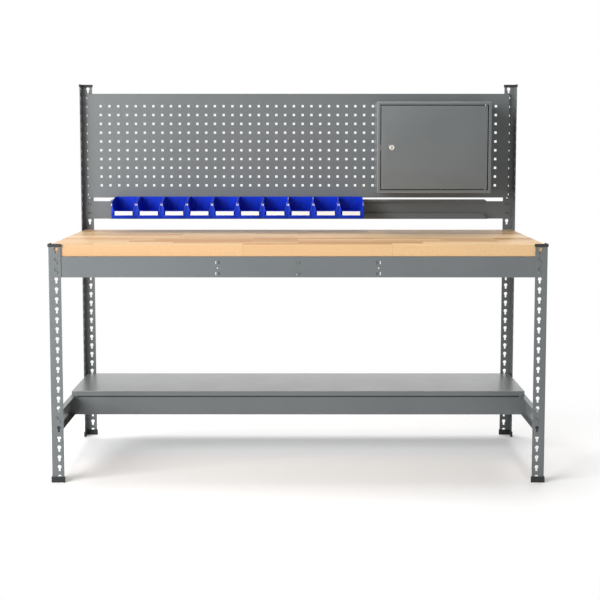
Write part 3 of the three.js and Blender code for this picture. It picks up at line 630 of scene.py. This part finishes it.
def cut_through(piece, cutter):
    """Cuts a shape out of a finished piece."""
    mesh = bpy.data.meshes.new("cutter")
    cutter.to_mesh(mesh)
    cutter.free()
    tool = bpy.data.objects.new("cutter", mesh)
    bpy.context.scene.collection.objects.link(tool)
    step = piece.modifiers.new("cut", "BOOLEAN")
    step.operation = "DIFFERENCE"
    step.object = tool
    graph = bpy.context.evaluated_depsgraph_get()
    made = bpy.data.meshes.new_from_object(piece.evaluated_get(graph))
    piece.modifiers.remove(step)
    bm = bmesh.new()
    bm.from_mesh(made)
    bm.to_mesh(piece.data)
    bm.free()
    bpy.data.objects.remove(tool)
    for spare in (mesh, made):
        bpy.data.meshes.remove(spare)


def planes_met(vert, low, high):
    """How many pairs of a box's outer planes a point lies on."""
    return sum(min(abs(vert.co[axis] - low[axis]), abs(vert.co[axis] - high[axis])) < SAME_PLANE
               for axis in range(3))


def dress(node, material):
    """Gives a solid that stays in view its material."""
    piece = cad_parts[node]
    for slot in piece.material_slots:
        slot.material = material


# Pieces

def keyhole_ring(bm, settings, level):
    """The outline of one keyhole: a round head with a straight slot below it."""
    radius = settings.keyhole_head / 2
    ring = bmesh.ops.create_circle(bm, cap_ends=False, radius=radius, segments=KEYHOLE_SIDES)["verts"]
    bmesh.ops.rotate(bm, cent=(0, 0, 0), matrix=Matrix.Rotation(math.pi / 2, 3, "X"), verts=ring)
    lowest = min(ring, key=lambda vert: vert.co.z)
    ring = [vert for vert in ring if vert is not lowest]
    bmesh.ops.dissolve_verts(bm, verts=[lowest])
    shoulders = sorted(ring, key=lambda vert: vert.co.z)[:2]
    shoulder = next(edge for edge in shoulders[0].link_edges if edge.other_vert(shoulders[0]) is shoulders[1])
    made = bmesh.ops.extrude_edge_only(bm, edges=[shoulder])["geom"]
    foot = [item for item in made if isinstance(item, bmesh.types.BMVert)]
    for vert in foot:
        vert.co.z = radius - settings.keyhole_height
    faces = [item for item in made if isinstance(item, bmesh.types.BMFace)]
    bmesh.ops.delete(bm, geom=faces, context="FACES_ONLY")
    bmesh.ops.delete(bm, geom=[shoulder], context="EDGES")
    lift = level + settings.keyhole_height / 2 - radius
    bmesh.ops.translate(bm, vec=(settings.keyhole_inset, 0, lift), verts=ring + foot)


def slotted_post(low, high, first, settings):
    """Folded angle with a column of keyholes in each flange; its corner is at the origin."""
    bm = bmesh.new()
    fold = settings.fold_radius
    width = high.x - low.x
    border = bmesh.ops.create_grid(bm, x_segments=1, y_segments=1, size=0.5)["verts"]
    bmesh.ops.delete(bm, geom=bm.faces[:], context="FACES_ONLY")
    for vert in border:
        vert.co = (fold if vert.co.x < 0 else width, 0.0, low.z if vert.co.y < 0 else high.z)
    level = high.z - first
    while level - settings.keyhole_margin >= low.z:
        keyhole_ring(bm, settings, level)
        level -= settings.keyhole_pitch
    bmesh.ops.triangle_fill(bm, use_beauty=True, use_dissolve=False, edges=bm.edges[:], normal=(0, -1, 0))
    flange = bm.faces[:]
    copy = bmesh.ops.duplicate(bm, geom=bm.verts[:] + bm.edges[:] + flange)["geom"]
    for vert in (item for item in copy if isinstance(item, bmesh.types.BMVert)):
        vert.co.x, vert.co.y = vert.co.y, vert.co.x
    inner = [edge for edge in bm.edges
             if all(max(abs(vert.co.x - fold), abs(vert.co.y)) < SAME_POINT for vert in edge.verts)]
    corners = list({vert for edge in inner for vert in edge.verts})
    bmesh.ops.spin(bm, geom=corners + inner, cent=(fold, fold, 0), axis=(0, 0, 1), angle=-math.pi / 2,
                   steps=FOLD_STEPS)
    bmesh.ops.remove_doubles(bm, verts=bm.verts[:], dist=SAME_POINT)
    bmesh.ops.recalc_face_normals(bm, faces=bm.faces[:])
    face = next(face for face in bm.faces if all(abs(vert.co.y) < SAME_POINT for vert in face.verts))
    face.normal_update()
    if face.normal.y > 0:
        bmesh.ops.reverse_faces(bm, faces=bm.faces[:])
    return bm


def place_in_corner(bm, low, high):
    """Turns a piece modelled in the front left corner into the corner where its solid stands."""
    left = low.x < 0
    front = low.y < 0
    scale = Vector((1 if left else -1, 1 if front else -1, 1))
    bmesh.ops.scale(bm, vec=scale, verts=bm.verts[:])
    if left != front:
        bmesh.ops.reverse_faces(bm, faces=bm.faces[:])
    bmesh.ops.translate(bm, vec=(low.x if left else high.x, low.y if front else high.y, 0), verts=bm.verts[:])


class BENCH_OT_posts(bpy.types.Operator):
    """Makes the folded posts with their keyholes"""
    bl_idname = "bench.posts"
    bl_label = "Slotted posts"

    def execute(self, context):
        settings = context.scene.bench_steel
        corners = ("front_left", "front_right", "rear_right", "rear_left")
        posts = [(f"{corner}_post", settings.lower_first) for corner in corners]
        posts += [(f"{corner}_upper_post", settings.upper_first) for corner in corners[2:]]
        for node, first in posts:
            low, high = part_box(node)
            bm = slotted_post(low, high, first, settings)
            place_in_corner(bm, low, high)
            piece = finished(node + "_finished", bm, steel(), "frame", [node])
            wall = piece.modifiers.new("sheet", "SOLIDIFY")
            wall.thickness = settings.gauge
            wall.offset = -1.0
            wall.use_even_offset = True
        return {"FINISHED"}


class BENCH_OT_feet_caps(bpy.types.Operator):
    """Makes the moulded feet and caps on the posts' ends"""
    bl_idname = "bench.feet_caps"
    bl_label = "Feet and caps"

    def execute(self, context):
        settings = context.scene.bench_steel
        for node in (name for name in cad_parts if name.endswith(("_foot", "_cap"))):
            bm = merged_copy(node)
            if node.endswith("_foot"):
                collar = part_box(node)[1].z
                for vert in bm.verts:
                    vert.co.z += settings.foot_collar if vert.co.z > collar - COLLAR_REACH else 0.0
            bevel_marked(bm, sharp_edges(bm), settings.foot_edge)
            finished(node + "_finished", bm, black_plastic(), "frame", [node])
        return {"FINISHED"}


class BENCH_OT_beams(bpy.types.Operator):
    """Makes the folded beams, the tie bar, the splice plates and the marks and folds on them"""
    bl_idname = "bench.beams"
    bl_label = "Beams"

    def execute(self, context):
        settings = context.scene.bench_steel
        kinds = ("_top_beam", "_shelf_beam", "_end_beam", "_tie_bar", "_splice_plate")
        nodes = [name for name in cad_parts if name.endswith(kinds)]
        for node in nodes:
            bm = rounded_copy(node, settings.edge_radius)
            finished(node + "_finished", bm, steel(), "frame", [node])
        self.press_marks(settings)
        self.lower_folds(settings)
        self.keyhole_bottoms(settings)
        return {"FINISHED"}

    def press_marks(self, settings):
        """Cuts pairs of slits through the front beam and sets black tabs behind them, as painted shade seen
        through the inner slits.
        """
        low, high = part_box("front_top_beam")
        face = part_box("worktop")[0].y - settings.beam_proud
        middle = (low.z + high.z) / 2 - settings.mark_drop
        slit_x, slit_z = settings.slit_width / 2, settings.slit_height / 2
        tab_x, tab_z = slit_x * TAB_SPREAD, slit_z + settings.tab_margin
        tab_front = face + settings.tab_depth
        cutter, shade_tabs = bmesh.new(), bmesh.new()
        for x in (-settings.mark_spacing, 0.0, settings.mark_spacing):
            inner = -1 if x > 0 else 1
            for z in (middle - settings.mark_spread / 2, middle + settings.mark_spread / 2):
                for side in (-1, 1):
                    at = x + side * settings.slit_offset
                    block(cutter, (at - slit_x, face - CUT_FRONT, z - slit_z),
                          (at + slit_x, face + CUT_BACK, z + slit_z))
                at = x + inner * settings.slit_offset
                block(shade_tabs, (at - tab_x, tab_front, z - tab_z),
                      (at + tab_x, tab_front + settings.tab_gauge, z + tab_z), FINE_EDGE, 1)
        cut_through(bpy.data.objects["front_top_beam_finished"], cutter)
        # The tabs are black, as painted shade behind the inner slits.
        finished("pressed_tabs", shade_tabs, black_plastic(), "frame")

    def lower_folds(self, settings):
        """Folds the lower edges of the shelf's end beams inwards, up to the beams that cross them."""
        front_low, front_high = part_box("front_shelf_beam")
        rear_low, rear_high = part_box("rear_shelf_beam")
        top_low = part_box("right_top_beam")[0]
        web = rear_high.x - settings.fold_gauge
        spans = ((top_low.y, front_low.y - settings.fold_gap),
                 (front_high.y + settings.fold_gap, rear_low.y - settings.fold_gap))
        for name, side in (("left", -1), ("right", 1)):
            near, far = sorted((side * top_low.x, side * web))
            bm = bmesh.new()
            for start, end in spans:
                block(bm, (near, start, rear_low.z), (far, end, rear_low.z + settings.fold_gauge))
            finished(f"{name}_end_beam_fold", bm, steel(), "frame")

    def keyhole_bottoms(self, settings):
        """Puts a black plate behind the empty keyhole of each front post that opens onto an end beam, as
        painted shade.
        """
        low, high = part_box("front_right_post")
        level = high.z - settings.lower_first
        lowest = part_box("right_shelf_end_beam")[0].z + settings.keyhole_head
        while level - settings.keyhole_pitch > lowest:
            level -= settings.keyhole_pitch
        column = high.x - settings.keyhole_inset
        front = low.y + settings.gauge + DARK_GAP
        bm = bmesh.new()
        for side in (-1, 1):
            block(bm, (side * column - DARK_HALF_WIDTH, front, level - DARK_BELOW),
                  (side * column + DARK_HALF_WIDTH, front + DARK_GAUGE, level + DARK_ABOVE))
        finished("keyhole_bottoms", bm, black_plastic(), "frame")


class BENCH_OT_worktop(bpy.types.Operator):
    """Makes the laminated worktop"""
    bl_idname = "bench.worktop"
    bl_label = "Worktop"

    def execute(self, context):
        settings = context.scene.bench_top
        low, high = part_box("worktop")
        bm = bmesh.new()
        block(bm, low, high, settings.edge_radius, BOARD_EDGE_STEPS)
        layer = bm.faces.layers.float.new("board_face")
        for face in bm.faces:
            face[layer] = 1.0 if abs(face.normal.z) > UPRIGHT else 0.0
        finished("worktop_finished", bm, beech_material(settings), "frame", ["worktop"], smooth=25)
        return {"FINISHED"}


class BENCH_OT_shelf(bpy.types.Operator):
    """Makes the folded shelf deck, and the step under its front lip with a black strip in it as painted
    shadow
    """
    bl_idname = "bench.shelf"
    bl_label = "Shelf deck"

    def execute(self, context):
        settings = context.scene.bench_steel
        bm = merged_copy("shelf_deck")
        low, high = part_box("shelf_deck")
        for vert in bm.verts:
            vert.co.y -= settings.lip_proud if vert.co.y < low.y + LIP_REACH else 0.0
        rim = [edge for edge in sharp_edges(bm)
               if all(abs(vert.co.z - high.z) < SAME_PLANE for vert in edge.verts)]
        bevel_marked(bm, rim, settings.deck_fold, segments=3)
        finished("shelf_deck_finished", bm, deck_steel(), "frame", ["shelf_deck"])
        self.step_and_shadow_strip(settings, low.x, high.x)
        return {"FINISHED"}

    def step_and_shadow_strip(self, settings, left, right):
        """Cuts the step into the front beam's upper edge and lays a black strip in it, as painted shadow
        under the lip.
        """
        low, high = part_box("front_shelf_beam")
        step, shadow_strip = bmesh.new(), bmesh.new()
        back = low.y + settings.step_depth
        block(step, (left, low.y - CUT_MARGIN, high.z - settings.step_height),
              (right, back, high.z + CUT_MARGIN))
        block(shadow_strip, (left, low.y + settings.step_depth * SHADOW_STRIP_FRONT, high.z - settings.shadow_strip_height),
              (right, back, high.z))
        cut_through(bpy.data.objects["front_shelf_beam_finished"], step)
        # The strip is black, as painted shadow.
        finished("deck_pad", shadow_strip, black_plastic(), "frame")


class BENCH_OT_panel_rail(bpy.types.Operator):
    """Makes the bin rail with its lug slits and paints the tool panel"""
    bl_idname = "bench.panel_rail"
    bl_label = "Tool panel and rail"

    def execute(self, context):
        settings = context.scene.bench_steel
        bm = rounded_copy("bin_rail", settings.edge_radius)
        rail = finished("bin_rail_finished", bm, steel(), "frame",
                        ["bin_rail", "rail_upper_lip"])
        self.lug_slits(settings)
        self.join_lip(rail, settings)
        dress("tool_panel", steel())
        return {"FINISHED"}

    def join_lip(self, rail, settings):
        """Joins the upper lip to the rail, with its foot set into the rail's edge."""
        lip = merged_copy("rail_upper_lip")
        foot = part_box("rail_upper_lip")[0].z
        for vert in lip.verts:
            vert.co.z -= settings.lip_root if abs(vert.co.z - foot) < SAME_PLANE else 0.0
        bevel_marked(lip, sharp_edges(lip), settings.edge_radius)
        mesh = bpy.data.meshes.new("lip")
        lip.to_mesh(mesh)
        lip.free()
        bm = bmesh.new()
        for part in (rail.data, mesh):
            bm.from_mesh(part)
        bm.to_mesh(rail.data)
        bm.free()
        bpy.data.meshes.remove(mesh)

    def lug_slits(self, settings):
        """Cuts the slits that free the pressed lugs at the rail's ends, with black plates in them as painted
        shade.
        """
        low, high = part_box("bin_rail")
        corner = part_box("rear_right_upper_post")[1]
        column = corner.x - settings.keyhole_inset
        back = corner.y - settings.gauge - RAIL_SLIT_ROOM
        levels = []
        level = corner.z - settings.upper_first
        while level > low.z + settings.slit_height:
            if level < high.z - settings.slit_height:
                levels.append(level)
            level -= settings.keyhole_pitch
        half = Vector((settings.lug_slit_width / 2, 0, settings.lug_slit_height / 2))
        cutter, shade_plates = bmesh.new(), bmesh.new()
        for side in (-1, 1):
            for level in levels:
                for offset in (-settings.lug_slit_offset, settings.lug_slit_offset):
                    middle = Vector((side * column + offset, back, level))
                    block(cutter, middle - half - Vector((0, RAIL_SLIT_CUT, 0)), middle + half)
                    block(shade_plates, middle - half - Vector((0, RAIL_SLIT_SHADE[0], 0)),
                          middle + half - Vector((0, RAIL_SLIT_SHADE[1], 0)))
        cut_through(bpy.data.objects["bin_rail_finished"], cutter)
        # The plates are black, as painted shade inside the slits.
        finished("lug_slit_bottoms", shade_plates, black_plastic(), "frame")


class BENCH_OT_cabinet(bpy.types.Operator):
    """Makes the cabinet's folded shell and door and finishes its hinge pins"""
    bl_idname = "bench.cabinet"
    bl_label = "Cabinet"

    def execute(self, context):
        settings = context.scene.bench_cabinet
        for node, body, radius in (
            ("cabinet_shell", "frame", settings.corner), ("cabinet_door", "door", settings.door_corner),
        ):
            low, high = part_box(node)
            bm = merged_copy(node)
            outer = [edge for edge in sharp_edges(bm)
                     if all(planes_met(vert, low, high) >= 2 for vert in edge.verts)]
            bevel_marked(bm, outer, radius, segments=3)
            finished(node + "_finished", bm, steel(), body, [node], smooth=35)
        for node in ("upper_hinge_pin", "lower_hinge_pin"):
            dress(node, zinc_plate())
        return {"FINISHED"}


class BENCH_OT_lock(bpy.types.Operator):
    """Makes the cam lock and its key slot, with a black plate in the slot as painted shade"""
    bl_idname = "bench.lock"
    bl_label = "Lock"

    def execute(self, context):
        settings = context.scene.bench_cabinet
        for node, body, radius in (
            ("lock_housing", "door", settings.bezel_edge), ("lock_plug", "lock", settings.plug_edge),
        ):
            bm = rounded_copy(node, radius)
            finished(node + "_finished", bm, bright_metal(), body, [node], smooth=40)
        for node in ("lock_nut", "lock_cam", "lock_keeper"):
            dress(node, zinc_plate())
        low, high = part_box("lock_plug")
        middle = (low + high) / 2
        left, right = middle.x - settings.key_slot_width / 2, middle.x + settings.key_slot_width / 2
        bottom, top = middle.z - settings.key_slot_length / 2, middle.z + settings.key_slot_length / 2
        slot_shade_front = low.y + SLOT_SHADE_DEPTH
        mouth, slot_shade = bmesh.new(), bmesh.new()
        block(mouth, (left, low.y - CUT_MARGIN, bottom), (right, low.y + settings.key_slot_depth, top))
        block(slot_shade, (left, slot_shade_front, bottom), (right, slot_shade_front + SLOT_SHADE_GAUGE, top))
        cut_through(bpy.data.objects["lock_plug_finished"], mouth)
        # The plate is black, as painted shade in the slot.
        finished("key_slot_warding", slot_shade, black_plastic(), "lock")
        return {"FINISHED"}


class BENCH_OT_bins(bpy.types.Operator):
    """Makes the moulded bins with their rims, ribs, lugs, hooks and label slots, and the bare label cards"""
    bl_idname = "bench.bins"
    bl_label = "Bins"

    def execute(self, context):
        settings = context.scene.bench_bins
        for number in BIN_NUMBERS:
            node, label, body = f"bin_{number}", f"bin_label_{number}", f"bin_{number}"
            low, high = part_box(node)
            bm = self.moulding(settings, low, high, *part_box(label))
            finished(node + "_finished", bm, blue_plastic(), body, [node], smooth=40)
            card = bmesh.new()
            block(card, *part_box(label), CARD_EDGE)
            finished(label + "_finished", card, card_material(settings), body, [label])
        return {"FINISHED"}

    def moulding(self, settings, low, high, card_low, card_high):
        """One bin in place."""
        front, back = low.y, low.y + settings.depth
        left, right = low.x + SIDE_ROOM, high.x - SIDE_ROOM
        bm = bmesh.new()
        block(bm, (left, front + FRONT_INSET, low.z), (right, back, high.z))
        shoulder = low.z + settings.side_height
        slope = Vector((0, shoulder - high.z, settings.slope_run)).normalized()
        bmesh.ops.bisect_plane(bm, geom=bm.verts[:] + bm.edges[:] + bm.faces[:], dist=SAME_POINT,
                               plane_co=(left, front, shoulder), plane_no=slope, clear_outer=True)
        top = [face for face in bm.faces if all(abs(vert.co.z - high.z) < SAME_POINT for vert in face.verts)]
        bmesh.ops.delete(bm, geom=top, context="FACES")
        lip = low.z + settings.front_height
        self.open_mouth(bm, settings, left, right, lip, shoulder)
        self.open_label_slots(bm, settings, low.z + settings.undercut_height, lip, card_low, card_high)
        middle = (left + right) / 2
        for vert in bm.verts:
            if abs(vert.co.z - low.z) < SAME_POINT:
                vert.co.x += settings.draft if vert.co.x < middle else -settings.draft
                vert.co.y += settings.undercut if vert.co.y < front + FRONT_REACH else 0.0
        rounded(bm, sharp_edges(bm, CORNER_ANGLE), settings.corner, segments=3)
        loop = self.rim_points(bm)
        bmesh.ops.recalc_face_normals(bm, faces=bm.faces[:])
        self.add_wall(bm, settings.wall)
        bm.faces.layers.float.new("rub")
        skin = set(bm.faces)
        self.add_rim(bm, loop, settings.rim, low, high)
        # A faint painted highlight along the rolled rim.
        self.mark_new(bm, skin, RIM_HIGHLIGHT)
        self.add_details(bm, settings, (left, right), (front, back), low, high, card_low, card_high)
        return bm

    def open_mouth(self, bm, settings, left, right, lip, shoulder):
        """Opens the front wall above its lip, between two pillars that narrow upwards."""
        foot = settings.pillar_foot
        lean, rise = foot - settings.pillar_head, shoulder - lip
        for place, normal, bottom in (
            ((left, 0, lip), (0, 0, 1), 0.0),
            ((left + foot, 0, lip), (rise, 0, lean), lip),
            ((right - foot, 0, lip), (-rise, 0, lean), lip),
        ):
            self.split_front(bm, self.front_faces(bm, bottom), place, normal)
        mouth = max(self.front_faces(bm, lip), key=lambda face: face.calc_area())
        bmesh.ops.delete(bm, geom=[mouth], context="FACES")

    def open_label_slots(self, bm, settings, ledge, lip, card_low, card_high):
        """Marks off the strip under the label and opens a slot at each end of the label."""
        bottom, top = card_low.z + SLOT_FOOT, card_high.z - SLOT_HEAD
        for height in (ledge, bottom, top):
            self.split_front(bm, self.front_faces(bm, 0.0, lip), (0, 0, height), (0, 0, 1))
        slots = []
        for side, end in ((-1, card_low.x), (1, card_high.x)):
            near = end + side * settings.slot_gap
            slots.append(sorted((near, near + side * settings.slot_width)))
        for x in slots[0] + slots[1]:
            self.split_front(bm, self.front_faces(bm, bottom, top), (x, 0, 0), (1, 0, 0))
        opened = [face for face in self.front_faces(bm, bottom, top)
                  if any(left < face.calc_center_median().x < right for left, right in slots)]
        bmesh.ops.delete(bm, geom=opened, context="FACES")

    def front_faces(self, bm, bottom, top=math.inf):
        """The front wall's faces with their middle between two heights."""
        front = min(vert.co.y for vert in bm.verts)
        return [face for face in bm.faces
                if all(abs(vert.co.y - front) < SAME_POINT for vert in face.verts)
                and bottom < face.calc_center_median().z < top]

    def split_front(self, bm, faces, place, normal):
        """Splits faces of the front wall along a plane."""
        edges = list({edge for face in faces for edge in face.edges})
        verts = list({vert for face in faces for vert in face.verts})
        bmesh.ops.bisect_plane(bm, geom=verts + edges + faces, dist=SAME_POINT, plane_co=place,
                               plane_no=normal)

    def rim_points(self, bm):
        """The points along the opening's edge, in order."""
        edges = {edge for edge in bm.edges if edge.is_boundary}
        start = min(edges, key=lambda edge: tuple(edge.verts[0].co)).verts[0]
        points, vert, last = [], start, None
        while True:
            points.append(vert.co.copy())
            step = next(edge for edge in vert.link_edges if edge in edges and edge is not last)
            vert, last = step.other_vert(vert), step
            if vert is start:
                return points

    def add_wall(self, bm, wall):
        """Gives the open skin its wall, inwards."""
        centre = sum((vert.co for vert in bm.verts), Vector()) / len(bm.verts)
        face = min(bm.faces, key=lambda face: face.calc_center_median().z)
        if (face.calc_center_median() - centre).dot(face.normal) < 0:
            bmesh.ops.reverse_faces(bm, faces=bm.faces[:])
        bmesh.ops.solidify(bm, geom=bm.faces[:], thickness=wall)

    def add_rim(self, bm, points, radius, low, high):
        """A rolled rim along the opening's edge."""
        curve = bpy.data.curves.new("rim_path", "CURVE")
        curve.dimensions = "3D"
        curve.bevel_depth = radius
        curve.bevel_resolution = 2
        spline = curve.splines.new("POLY")
        spline.points.add(len(points) - 1)
        for point, place in zip(spline.points, points):
            point.co = (*place, 1.0)
        spline.use_cyclic_u = True
        holder = bpy.data.objects.new("rim_path", curve)
        bpy.context.scene.collection.objects.link(holder)
        graph = bpy.context.evaluated_depsgraph_get()
        mesh = bpy.data.meshes.new_from_object(holder.evaluated_get(graph))
        for vert in mesh.vertices:
            vert.co.x = min(max(vert.co.x, low.x), high.x)
            vert.co.z = min(vert.co.z, high.z)
        bm.from_mesh(mesh)
        bpy.data.objects.remove(holder)
        bpy.data.curves.remove(curve)
        bpy.data.meshes.remove(mesh)

    def mark_new(self, bm, before, rub):
        """Marks the faces made since a set of faces was taken for the painted highlight, at a share."""
        layer = bm.faces.layers.float["rub"]
        for face in bm.faces:
            if face not in before:
                face[layer] = rub

    def add_details(self, bm, settings, across, along, low, high, card_low, card_high):
        """Ribs on the back wall, lugs, the hook, the side rib and the ledge under the label."""
        left, right = across
        front, back = along
        middle = (left + right) / 2
        for place in RIB_PLACES:
            x = middle + place * (right - left)
            block(bm, (x - RIB_HALF_WIDTH, back - settings.wall - RIB_PROUD, low.z + RIB_FOOT),
                  (x + RIB_HALF_WIDTH, back - settings.wall / 2, high.z - RIB_HEAD), FINE_EDGE, 1)
        shoulder = low.z + settings.side_height
        before = set(bm.faces)
        for start in (left, right - LUG_WIDTH):
            block(bm, (start, front, shoulder - LUG_DROP),
                  (start + LUG_WIDTH, front + LUG_DEPTH, shoulder + LUG_RISE), LUG_EDGE)
        # The lugs are painted almost white, as a painted highlight at the pillars' tops.
        self.mark_new(bm, before, LUG_HIGHLIGHT)
        rail_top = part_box("bin_rail")[1].z
        hook_left, hook_right = low.x + HOOK_INSET, high.x - HOOK_INSET
        block(bm, (hook_left, back - settings.wall, rail_top + HOOK_GAP),
              (hook_right, high.y, rail_top + HOOK_TOP), FINE_EDGE, 1)
        block(bm, (hook_left, high.y - HOOK_GAUGE, rail_top - HOOK_DROP),
              (hook_right, high.y, rail_top + HOOK_LAP), FINE_EDGE, 1)
        block(bm, (right - SIDE_RIB_ROOT, front + SIDE_RIB_FRONT, low.z + settings.undercut_height),
              (high.x + settings.side_rib, front + SIDE_RIB_BACK, shoulder - LUG_DROP), SIDE_RIB_EDGE, 1)
        block(bm, (card_low.x - LEDGE_REACH, card_low.y - LEDGE_PROUD, card_low.z - LEDGE_DROP),
              (card_high.x + LEDGE_REACH, front + LEDGE_ROOT, card_low.z - LEDGE_GAP), LEDGE_EDGE)


class BENCH_OT_stage(bpy.types.Operator):
    """Makes the floor, the lamps, the room light and the camera"""
    bl_idname = "bench.stage"
    bl_label = "Stage"

    def execute(self, context):
        settings = context.scene.bench_stage
        self.floor(settings)
        self.room(context.scene, settings)
        for name, power, size, place, target in LAMPS:
            lamp = self.lamp(name, getattr(settings, power), size, place, target)
            lamp.visible_glossy = name != "back_lamp"    # it would glare on the shelf deck
        self.camera(context.scene, settings)
        context.scene.view_settings.view_transform = "Standard"
        return {"FINISHED"}

    def seen_directly(self, tree):
        """One where the camera, a gloss or a clear surface looks straight at it."""
        path = tree.nodes.new("ShaderNodeLightPath")
        total = math_node(tree, "ADD", path.outputs["Is Camera Ray"], path.outputs["Is Glossy Ray"])
        return math_node(tree, "ADD", total, path.outputs["Is Transmission Ray"], clamp=True)

    def floor(self, settings):
        """A pale floor that keeps the shadow and fades to white away from the bench."""
        bm = bmesh.new()
        bmesh.ops.create_grid(bm, x_segments=1, y_segments=1, size=FLOOR_REACH)
        mesh = bpy.data.meshes.new("floor")
        bm.to_mesh(mesh)
        bm.free()
        piece = bpy.data.objects.new("floor", mesh)
        bpy.context.scene.collection.objects.link(piece)
        material, tree, shader = new_material("pale_floor", roughness=0.9, specular_ior_level=0.0,
                                              base_color=tuple(settings.floor))
        oval = stretched(tree, object_coordinates(tree), WHITE_OVAL)
        reach = add_node(tree, "ShaderNodeVectorMath", {0: oval}, operation="LENGTH").outputs["Value"]
        fade = add_node(tree, "ShaderNodeMapRange",
                        {"Value": reach, "From Min": WHITE_FADE[0], "From Max": WHITE_FADE[1]},
                        interpolation_type="SMOOTHSTEP").outputs[0]
        seen = self.seen_directly(tree)
        lift = add_node(tree, "ShaderNodeEmission", {"Strength": scaled(tree, seen, settings.lift)})
        near = add_node(tree, "ShaderNodeAddShader", {0: shader.outputs[0], 1: lift.outputs[0]})
        white = add_node(tree, "ShaderNodeEmission", {"Strength": 1.0})
        factor = scaled(tree, fade, seen)
        blend = add_node(tree, "ShaderNodeMixShader", {0: factor, 1: near.outputs[0], 2: white.outputs[0]})
        tree.links.new(blend.outputs[0], tree.nodes["Material Output"].inputs["Surface"])
        mesh.materials.append(material)

    def room(self, scene, settings):
        """An even room light, white where it is looked at."""
        world = bpy.data.worlds.new("room")
        world.use_nodes = True
        tree = world.node_tree
        background = tree.nodes["Background"]
        background.inputs["Color"].default_value = (1.0, 1.0, 1.0, 1.0)
        strength = ranged(tree, self.seen_directly(tree), FULL, (settings.world, 1.0))
        tree.links.new(strength, background.inputs["Strength"])
        scene.world = world

    def lamp(self, name, power, size, place, target):
        """A square lamp that faces a point."""
        data = bpy.data.lights.new(name, "AREA")
        data.energy = power
        data.size = size
        lamp = bpy.data.objects.new(name, data)
        lamp.location = place
        lamp.rotation_euler = (Vector(target) - Vector(place)).to_track_quat("-Z", "Y").to_euler()
        bpy.context.scene.collection.objects.link(lamp)
        return lamp

    def camera(self, scene, settings):
        """The camera in front of the bench."""
        data = bpy.data.cameras.new("camera")
        data.lens = settings.lens
        data.sensor_width = SENSOR_WIDTH
        data.shift_y = settings.shift
        camera = bpy.data.objects.new("camera", data)
        camera.location = settings.camera
        camera.rotation_euler = (math.pi / 2 - settings.tilt, 0.0, 0.0)
        scene.collection.objects.link(camera)
        scene.camera = camera


OPERATORS = (
    BENCH_OT_posts, BENCH_OT_feet_caps, BENCH_OT_beams, BENCH_OT_worktop, BENCH_OT_shelf,
    BENCH_OT_panel_rail, BENCH_OT_cabinet, BENCH_OT_lock, BENCH_OT_bins, BENCH_OT_stage,
)
SETTINGS = {
    "bench_steel": BenchSteelSettings,
    "bench_top": BenchTopSettings,
    "bench_bins": BenchBinSettings,
    "bench_cabinet": BenchCabinetSettings,
    "bench_stage": BenchStageSettings,
}


class BENCH_PT_sidebar(bpy.types.Panel):
    """Lists the bench's settings and the operators that make its pieces"""
    bl_idname = "BENCH_PT_sidebar"
    bl_label = "Workbench"
    bl_space_type = "VIEW_3D"
    bl_region_type = "UI"
    bl_category = "Workbench"

    def draw(self, context):
        for name, group in SETTINGS.items():
            box = self.layout.box()
            for key in group.__annotations__:
                box.prop(getattr(context.scene, name), key)
        for operator in OPERATORS:
            self.layout.operator(operator.bl_idname)


def register():
    """Adds the settings, the operators and the panel."""
    for group in SETTINGS.values():
        bpy.utils.register_class(group)
    for name, group in SETTINGS.items():
        setattr(bpy.types.Scene, name, PointerProperty(type=group))
    for kind in (*OPERATORS, BENCH_PT_sidebar):
        bpy.utils.register_class(kind)


def unregister():
    """Takes them away again."""
    for kind in reversed((*OPERATORS, BENCH_PT_sidebar)):
        bpy.utils.unregister_class(kind)
    for name, group in SETTINGS.items():
        delattr(bpy.types.Scene, name)
        bpy.utils.unregister_class(group)


def main():
    """Makes every piece and the stage."""
    register()
    for operator in OPERATORS:
        family, call = operator.bl_idname.split(".")
        getattr(getattr(bpy.ops, family), call)()


if __name__ == "__main__":
    main()
